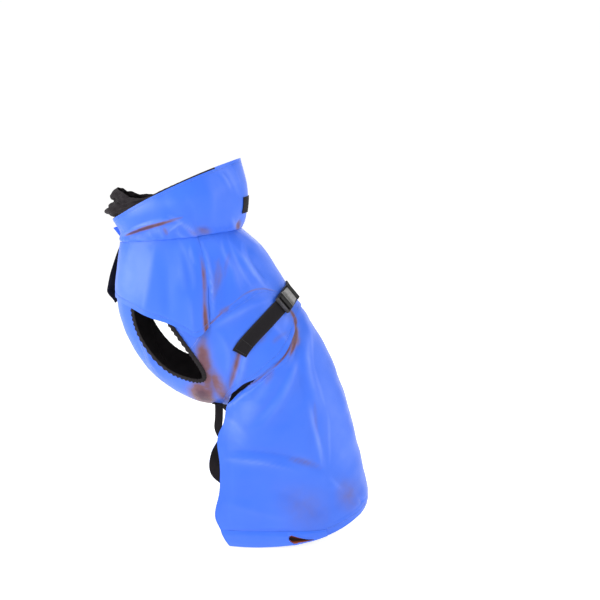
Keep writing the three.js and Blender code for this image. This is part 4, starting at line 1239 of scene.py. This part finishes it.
def hem_turnup():
    """Hem turned up on the near side. Its open end is a drop-shaped mouth, round in front and pointed behind,
    where the outer face sinks to the skirt and takes painted shade, brown to near black."""
    run, share = np.meshgrid(np.linspace(0, 1, 140), np.linspace(0, 1, 34), indexing="ij")
    angle = TURNUP["from"] + (TURNUP["to"] - TURNUP["from"]) * run
    height = TURNUP["height"] * (1 - 0.55 * run ** 3)
    along = SKIRT_LAST - height * (1 - share)
    grid, lift = skirt_cloth(along, angle)
    top = lift + CLOTH + LAYER_GAP - 0.4 * bell(share, 0.12)
    swell = 2.2 * np.sin(np.pi * np.clip(share, 0, 1)) ** 0.8 * (1 - 0.4 * run)
    place = (run - TURNUP["mouth_from"]) / (TURNUP["mouth_to"] - TURNUP["mouth_from"])
    open_half = 0.36 * np.sqrt(np.clip(place * 7, 0, 1)) * np.clip(1.02 - place, 0, 1) ** 1.4
    off = np.abs(share - 0.5 - 0.36 * place) / np.maximum(open_half, 1e-4)
    inside = smooth_step((1.25 - off) / 0.5) * ((place > 0) & (place < 1))
    lip = bell(off, 0.5, 1.3) * ((place > -0.03) & (place < 1))
    outer = top + CLOTH + swell + 1.8 * lip - 1.3 * bell(share, 0.12)
    outer = outer * (1 - inside) + (top + 0.5) * inside
    points = grid.raised(outer)
    # The depth attribute sets how dark the painted shade in the mouth is, darkest in its middle
    piece = wall_piece("hem_cloth", grid.raised(top), points, [BLUE, BLUE, HEM_INSIDE],
                       attributes={"crease_shade": 0 * run, "depth": np.clip(1.15 - off, 0, 1)})
    mesh = piece.data
    rows, cells = share.shape[1], share.shape[0] - 1
    # Faces sunk into the mouth take the painted shade of the hem's inside
    sunk = inside.reshape(share.shape)[:-1, :-1].ravel() > 0.35
    slots = np.zeros(len(mesh.polygons), np.int32)
    mesh.polygons.foreach_get("material_index", slots)
    slots[:cells * (rows - 1)][sunk] = 2
    mesh.polygons.foreach_set("material_index", slots)
    declare(piece, "hem_turnup")


def collar_tab():
    """Pointed front end of the collar's overlap: a small plate with soft edges."""
    outline = np.array([(-254, 0), (-247, 2.5), (-243.4, 1), (-240, -8), (-238.4, -14), (-237, -20),
                        (-241, -17)])
    curve = flat_curve("tab_outline", [outline], DOUBLE_CLOTH, 0.8, 3)
    points = np.stack([curve[0][:, 0], curve[0][:, 2], curve[0][:, 1]], axis=-1)
    piece = make_piece("collar_tab_cloth", points, curve[1][:, ::-1], [BLUE],
                       attributes={"crease_shade": np.zeros(len(points))})
    declare(piece, "collar_tab")


def flat_curve(name, outlines, thickness, bevel, resolution=2):
    """Flat plate from closed outlines, the first outside and the others as holes, with rounded edges.
    Returns its points in millimetres and its triangles."""
    curve = bpy.data.curves.new(name, "CURVE")
    curve.dimensions = "2D"
    curve.fill_mode = "BOTH"
    curve.extrude = thickness / 2 - bevel
    curve.bevel_depth = bevel
    curve.bevel_resolution = resolution
    curve.offset = -bevel
    for outline in outlines:
        spline = curve.splines.new("POLY")
        spline.points.add(len(outline) - 1)
        spline.points.foreach_set("co", np.c_[outline, np.zeros(len(outline)), np.ones(len(outline))].ravel())
        spline.use_cyclic_u = True
    holder = bpy.data.objects.new(name, curve)
    bpy.context.scene.collection.objects.link(holder)
    bpy.context.view_layer.update()
    mesh = bpy.data.meshes.new_from_object(holder.evaluated_get(bpy.context.evaluated_depsgraph_get()))
    clean = bmesh.new()
    clean.from_mesh(mesh)
    bmesh.ops.remove_doubles(clean, verts=clean.verts, dist=0.01)
    bmesh.ops.recalc_face_normals(clean, faces=clean.faces)
    bmesh.ops.triangulate(clean, faces=clean.faces)
    points = np.array([vertex.co[:] for vertex in clean.verts])
    faces = np.array([[vertex.index for vertex in face.verts] for face in clean.faces])
    clean.free()
    bpy.data.objects.remove(holder)
    bpy.data.curves.remove(curve)
    bpy.data.meshes.remove(mesh)
    return points, faces


def nape_label():
    """Bare black patch on the back of the collar, with a pressed border."""
    angles = even(-20, 20, 0.8)
    angle, along = np.meshgrid(angles, np.linspace(2.5, 3.4, 22), indexing="ij")
    grid = Grid(raw_collar, along, angle)
    from_first, from_last = edge_distance(grid.base)
    mm_per_degree = 1.9
    side = (20 - np.abs(angle)) * mm_per_degree
    border = np.minimum(np.minimum(from_first, from_last), side)
    lift = 3.2 + 0.9 * ripple(grid.base, 30, 0.6) - 0.25 * bell(border, 0.9, 3)
    lift += 0.3 * np.sin(angle * 0.21 + 1)
    piece = wall_piece("nape_patch", grid.raised(lift), grid.raised(lift + 1.0), [LINING, LINING])
    declare(piece, "nape_label")


STRAP = {"half": 15.0, "thickness": 1.8, "sewn_angle": 84.0, "sewn_along": 6.12, "spine_along": 2.8,
         "spine_lift": 1.6, "spine_bend": 14.0}


def strap_place(angle):
    """Place of the strap's middle line along the body: a V over the spine with a rounded point."""
    share = np.hypot(angle, STRAP["spine_bend"]) / np.hypot(STRAP["sewn_angle"], STRAP["spine_bend"])
    return STRAP["spine_along"] + (STRAP["sewn_along"] - STRAP["spine_along"]) * share


def strap_frame(angle):
    """Point of the strap's middle line on the body, the direction away from the body, and the line's."""
    along = strap_place(angle)
    ahead, behind = (raw_body(strap_place(angle + turn), angle + turn) for turn in (1, -1))
    return raw_body(along, angle), outward(raw_body, along, angle), ahead - behind


def nearest_place(target, along, angle):
    """Place on the body nearest to each target, by a few steps along the body's two slopes."""
    for _ in range(8):
        miss = target - raw_body(along, angle)
        slope_along = (raw_body(along + 0.02, angle) - raw_body(along - 0.02, angle)) / 0.04
        slope_angle = raw_body(along, angle + 0.5) - raw_body(along, angle - 0.5)
        aa, bb, ab = ((one * two).sum(-1) for one, two in (
            (slope_along, slope_along), (slope_angle, slope_angle), (slope_along, slope_angle)))
        size = aa * bb - ab * ab
        on_along, on_angle = (slope_along * miss).sum(-1), (slope_angle * miss).sum(-1)
        along = along + (on_along * bb - on_angle * ab) / size
        angle = angle + (on_angle * aa - on_along * ab) / size
    return along, angle


def strap(name, node, side, end):
    """Webbing from its sewn end up to the buckle, lying on the band over its whole width."""
    angles = side * even(end, STRAP["sewn_angle"], 0.9)
    centre, normal, way = strap_frame(angles)
    across = unit(np.cross(normal, unit(way)))
    reach = np.linspace(-1, 1, 13)
    target = centre[:, None] + across[:, None] * (reach * STRAP["half"])[None, :, None]
    start = np.broadcast_to(strap_place(angles)[:, None], target.shape[:2])
    along, angle = nearest_place(target, start, np.broadcast_to(angles[:, None], start.shape))
    grid, lift = body_cloth(along, angle)
    mm_per_degree = 1.7
    from_end = np.abs(side * STRAP["sewn_angle"] - angles)[:, None] * mm_per_degree
    rise = 1.6 * smooth_step(1 - np.abs(np.abs(angles) - end) / 14)[:, None]
    lift = lift.mean(axis=1, keepdims=True) * 0.6 + lift * 0.4
    over_spine = STRAP["spine_lift"] * bell(angle, 12)
    lift = lift + CLOTH + 0.5 + rise + over_spine + 0.5 * smooth_step(from_end / 30)
    edge = np.broadcast_to((np.abs(reach) ** 6)[None, :], along.shape)
    outer = lift + STRAP["thickness"] - 0.5 * edge
    points = grid.raised(outer)
    for column in (-3, -12):
        SEWN["black"].append((points[column, 1:-1], grid.normal[column, 1:-1]))
    piece = wall_piece(name, grid.raised(lift), points, [WEBBING, WEBBING], attributes={"edge": edge})
    declare(piece, node)


def leg_elastic(name, node, side):
    """Flat elastic from inside the belly band down to the inside of the skirt."""
    sewn_along = np.array([7.5, 7.55])
    sewn_angle = side * np.array([156.0, 151.0])
    sewn = raw_body(sewn_along, sewn_angle) + outward(raw_body, sewn_along, sewn_angle) * (CLOTH + 2)
    free = np.array([(-41, 76, -370), (-41, 88, -390), (-28, 102, -408), (-6, 110, -424)], float)
    free[:, 1] *= side
    knots = np.concatenate([sewn, free])
    place = np.linspace(0, len(knots) - 1, 70)
    path = np.stack([between(knots[:, axis], place) for axis in range(3)], axis=-1)
    forward = unit(np.gradient(path, axis=0))
    across = unit(np.array([1.0, 0, 0]) - forward * forward[:, :1])
    normal = np.cross(across, forward)
    reach = np.linspace(-8, 8, 9)[None, :, None]
    middle = path[:, None] + across[:, None] * reach
    wave = 0.25 * np.sin(np.arange(70) * 1.4)[:, None, None]
    piece = wall_piece(name, middle + normal[:, None] * (wave - 0.8), middle + normal[:, None] * (wave + 0.8),
                       [ELASTIC, ELASTIC])
    declare(piece, node)


BUCKLE = {"half": 19.0, "angle": -25.0, "stand": 3.8, "thickness": 7.0, "socket": 27.6, "plug": 22.6}
PRONG = {"inner": 12.4, "outer": 18.6, "length": 17.0, "gap": 0.4}


def rounded(corners, radius):
    """Outline with its corners cut by short curves: two straight runs joined by a quadratic curve."""
    corners = np.array(corners, float)
    before, after = np.roll(corners, 1, axis=0), np.roll(corners, -1, axis=0)
    start = corners + unit(before - corners) * radius
    end = corners + unit(after - corners) * radius
    share = np.linspace(0, 1, 5)[None, :, None]
    curve = (start[:, None] * (1 - share) ** 2 + corners[:, None] * 2 * share * (1 - share)
             + end[:, None] * share ** 2)
    return curve.reshape(-1, 2)


def box_outline(left, right, low, high, radius):
    """Rounded rectangle."""
    return rounded([(left, low), (right, low), (right, high), (left, high)], radius)


def buckle_basis():
    """The buckle's own axes on the spine: across the strap, along it, and away from the body."""
    place, normal, way = strap_frame(np.array(BUCKLE["angle"]))
    way = unit(way - normal * (way @ normal))
    return place + normal * BUCKLE["stand"], np.cross(way, normal), way, normal


def buckle_plates(name, plates, material):
    """Plates in the buckle's own plane: outlines, lowest and highest place, and edge radius."""
    place, across, way, normal = buckle_basis()
    points, faces = [], []
    for outlines, bottom, top, bevel in plates:
        flat, triangles = flat_curve(name + "_outline", outlines, top - bottom, bevel)
        flat[:, 2] += (top + bottom) / 2
        faces.append(triangles + sum(len(part) for part in points))
        points.append(place + flat[:, :1] * across + flat[:, 1:2] * way + flat[:, 2:] * normal)
    return make_piece(name, np.concatenate(points), np.concatenate(faces), [material], crisp=35)


def buckle():
    """Fastened side-release buckle: socket, plug with its two prongs, and its grey plate and ribs."""
    half, top, end = BUCKLE["half"], BUCKLE["socket"], -BUCKLE["plug"]
    notch, length, high = PRONG["inner"] - PRONG["gap"], PRONG["length"], BUCKLE["thickness"]
    socket = rounded([(-half, length), (-notch, length), (-notch, 0), (notch, 0), (notch, length),
                      (half, length), (half - 2, top), (-half + 2, top)], 1.2)
    slot = box_outline(-15.5, 15.5, top - 6.6, top - 3, 0.8)
    socket_piece = buckle_plates("buckle_female", [
        ([socket, slot], 0, high, 0.7),
        ([box_outline(-half + 0.6, half - 0.6, top - 7.4, top + 1.4, 2)], high - 2, high + 3.2, 1.3),
    ], BLACK_PLASTIC)
    declare(socket_piece, "buckle_socket")
    base, reach, inner, outer = -PRONG["gap"], length - PRONG["gap"], PRONG["inner"], PRONG["outer"]
    plug = rounded([(-half, end), (half, end), (half, base), (outer, reach), (inner, reach), (inner, base),
                    (-inner, base), (-inner, reach), (-outer, reach), (-half, base)], 1.2)
    slot = box_outline(-15.5, 15.5, end + 5, end + 9, 0.8)
    plug_piece = buckle_plates("buckle_male", [
        ([plug, slot], 0, high, 0.7),
        ([box_outline(-half + 1.5, half - 1.5, end + 9.4, end + 19.2, 1.4)], high - 1.5, high + 1.1, 0.6),
    ], BLACK_PLASTIC)
    declare(plug_piece, "buckle_plug")
    low, far = 5.0, top - 7.8
    plate = rounded([(-half + 2.6, low), (half - 2.6, low), (half - 4.2, far), (-half + 4.2, far)], 1.2)
    grey = buckle_plates("buckle_grey", [
        ([plate], high - 0.6, high + 1.3, 0.6),
        ([box_outline(-half + 1.4, half - 1.4, 1.2, 2.8, 0.7)], high - 1, high + 2.2, 0.6),
        ([box_outline(-half + 1.0, half - 1.0, -2.6, -1.2, 0.6)], high - 1, high + 1.8, 0.6),
    ], GREY_PLASTIC)
    lip = buckle_plates("buckle_lip", [
        ([box_outline(-half + 0.2, half - 0.2, end - 0.4, end + 2.8, 1.3)], 0.6, high + 1.0, 1.1),
    ], DIM_PLASTIC)
    declare(lip, None)
    declare(grey, "buckle_bar")


def make_stage():
    """Pale floor under the hem: a large disc that glows a little, as a lit studio table."""
    floor_height, radius = -0.6225, 90
    turn = np.linspace(0, 2 * np.pi, 97)[:-1]
    rim = np.stack([np.cos(turn) * radius, np.sin(turn) * radius, np.full(96, floor_height)], axis=-1)
    mesh = bpy.data.meshes.new("floor")
    mesh.from_pydata(rim.tolist(), [], [list(range(96))])
    finish = Finish("pale_floor", (0.6, 0.6, 0.6), 0.9, level=0.1)
    finish.shader.inputs["Emission Color"].default_value = (1, 1, 1, 1)
    finish.shader.inputs["Emission Strength"].default_value = 0.84
    mesh.materials.append(finish.material)
    floor = bpy.data.objects.new("floor", mesh)
    bpy.context.scene.collection.objects.link(floor)


def area_light(name, place, target, size, power):
    """Square soft light that looks at a target."""
    data = bpy.data.lights.new(name, "AREA")
    data.shape = "SQUARE"
    data.size = size
    data.energy = power
    light = bpy.data.objects.new(name, data)
    light.location = place
    light.rotation_euler = (Vector(target) - Vector(place)).to_track_quat("-Z", "Y").to_euler()
    bpy.context.scene.collection.objects.link(light)


def make_lights():
    """Surroundings that are white behind the coat and dimmer elsewhere, a large light from the left and
    smaller ones from the right, from above and from behind."""
    world = bpy.data.worlds.new("studio")
    world.use_nodes = True
    nodes, links = world.node_tree.nodes, world.node_tree.links
    background = nodes["Background"]
    background.inputs["Color"].default_value = (1, 1, 1, 1)
    place = nodes.new("ShaderNodeTexCoord")
    parts = nodes.new("ShaderNodeSeparateXYZ")
    links.new(place.outputs["Generated"], parts.inputs["Vector"])
    both = nodes.new("ShaderNodeMath")
    both.operation = "MULTIPLY"
    for slot, (axis, values) in enumerate((("Z", (0.2, 0.8, 1.02, 0.25)), ("Y", (0.55, 0.85, 0.62, 1.0)))):
        change = nodes.new("ShaderNodeMapRange")
        change.interpolation_type = "SMOOTHSTEP"
        for socket, value in zip(("From Min", "From Max", "To Min", "To Max"), values):
            change.inputs[socket].default_value = value
        links.new(parts.outputs[axis], change.inputs["Value"])
        links.new(change.outputs[0], both.inputs[slot])
    links.new(both.outputs[0], background.inputs["Strength"])
    bpy.context.scene.world = world
    middle = (0, 0, -0.2)
    area_light("key", (-2.3, -1.1, 0.8), middle, 1.5, 48)
    area_light("rim", (2.2, -0.9, 0.9), middle, 1.6, 26)
    area_light("top", (-0.3, -0.8, 2.4), middle, 1.2, 30)
    area_light("back", (0.4, 2.4, 1.5), middle, 1.8, 26)


def make_camera():
    """Camera two metres to the left of the coat, at the height of the collar, looking a little down."""
    data = bpy.data.cameras.new("camera")
    data.lens = 60
    data.sensor_width = 36
    camera = bpy.data.objects.new("camera", data)
    look_down = 9.1
    camera.location = (0.12, -2.0, 0.174)
    camera.rotation_euler = (radians(90 - look_down), 0, 0)
    bpy.context.scene.collection.objects.link(camera)
    bpy.context.scene.camera = camera
    bpy.context.scene.view_settings.view_transform = "Standard"


make_camera()
make_stage()
make_lights()
collar()
inner_collar()
collar_tab()
nape_label()
back_yoke()
chest_bib()
belly_band()
cape("cape_left_cloth", "cape_left", -1, 0, 0, 0)
cape("cape_right_cloth", "cape_right", 1, 34, 0.42, 1)
for side_name, side in (("left", -1), ("right", 1)):
    armhole_binding("binding_" + side_name, "armhole_binding_" + side_name, side)
rear_skirt()
hem_turnup()
strap("webbing_left", "strap_left", -1, 33)
strap("webbing_right", "strap_right", 1, -17)
for side_name, side in (("left", -1), ("right", 1)):
    leg_elastic("elastic_" + side_name, "leg_elastic_" + side_name, side)
buckle()
stitches("cloth_stitches", "blue", BLUE_THREAD)
stitches("webbing_stitches", "black", BLACK_THREAD)
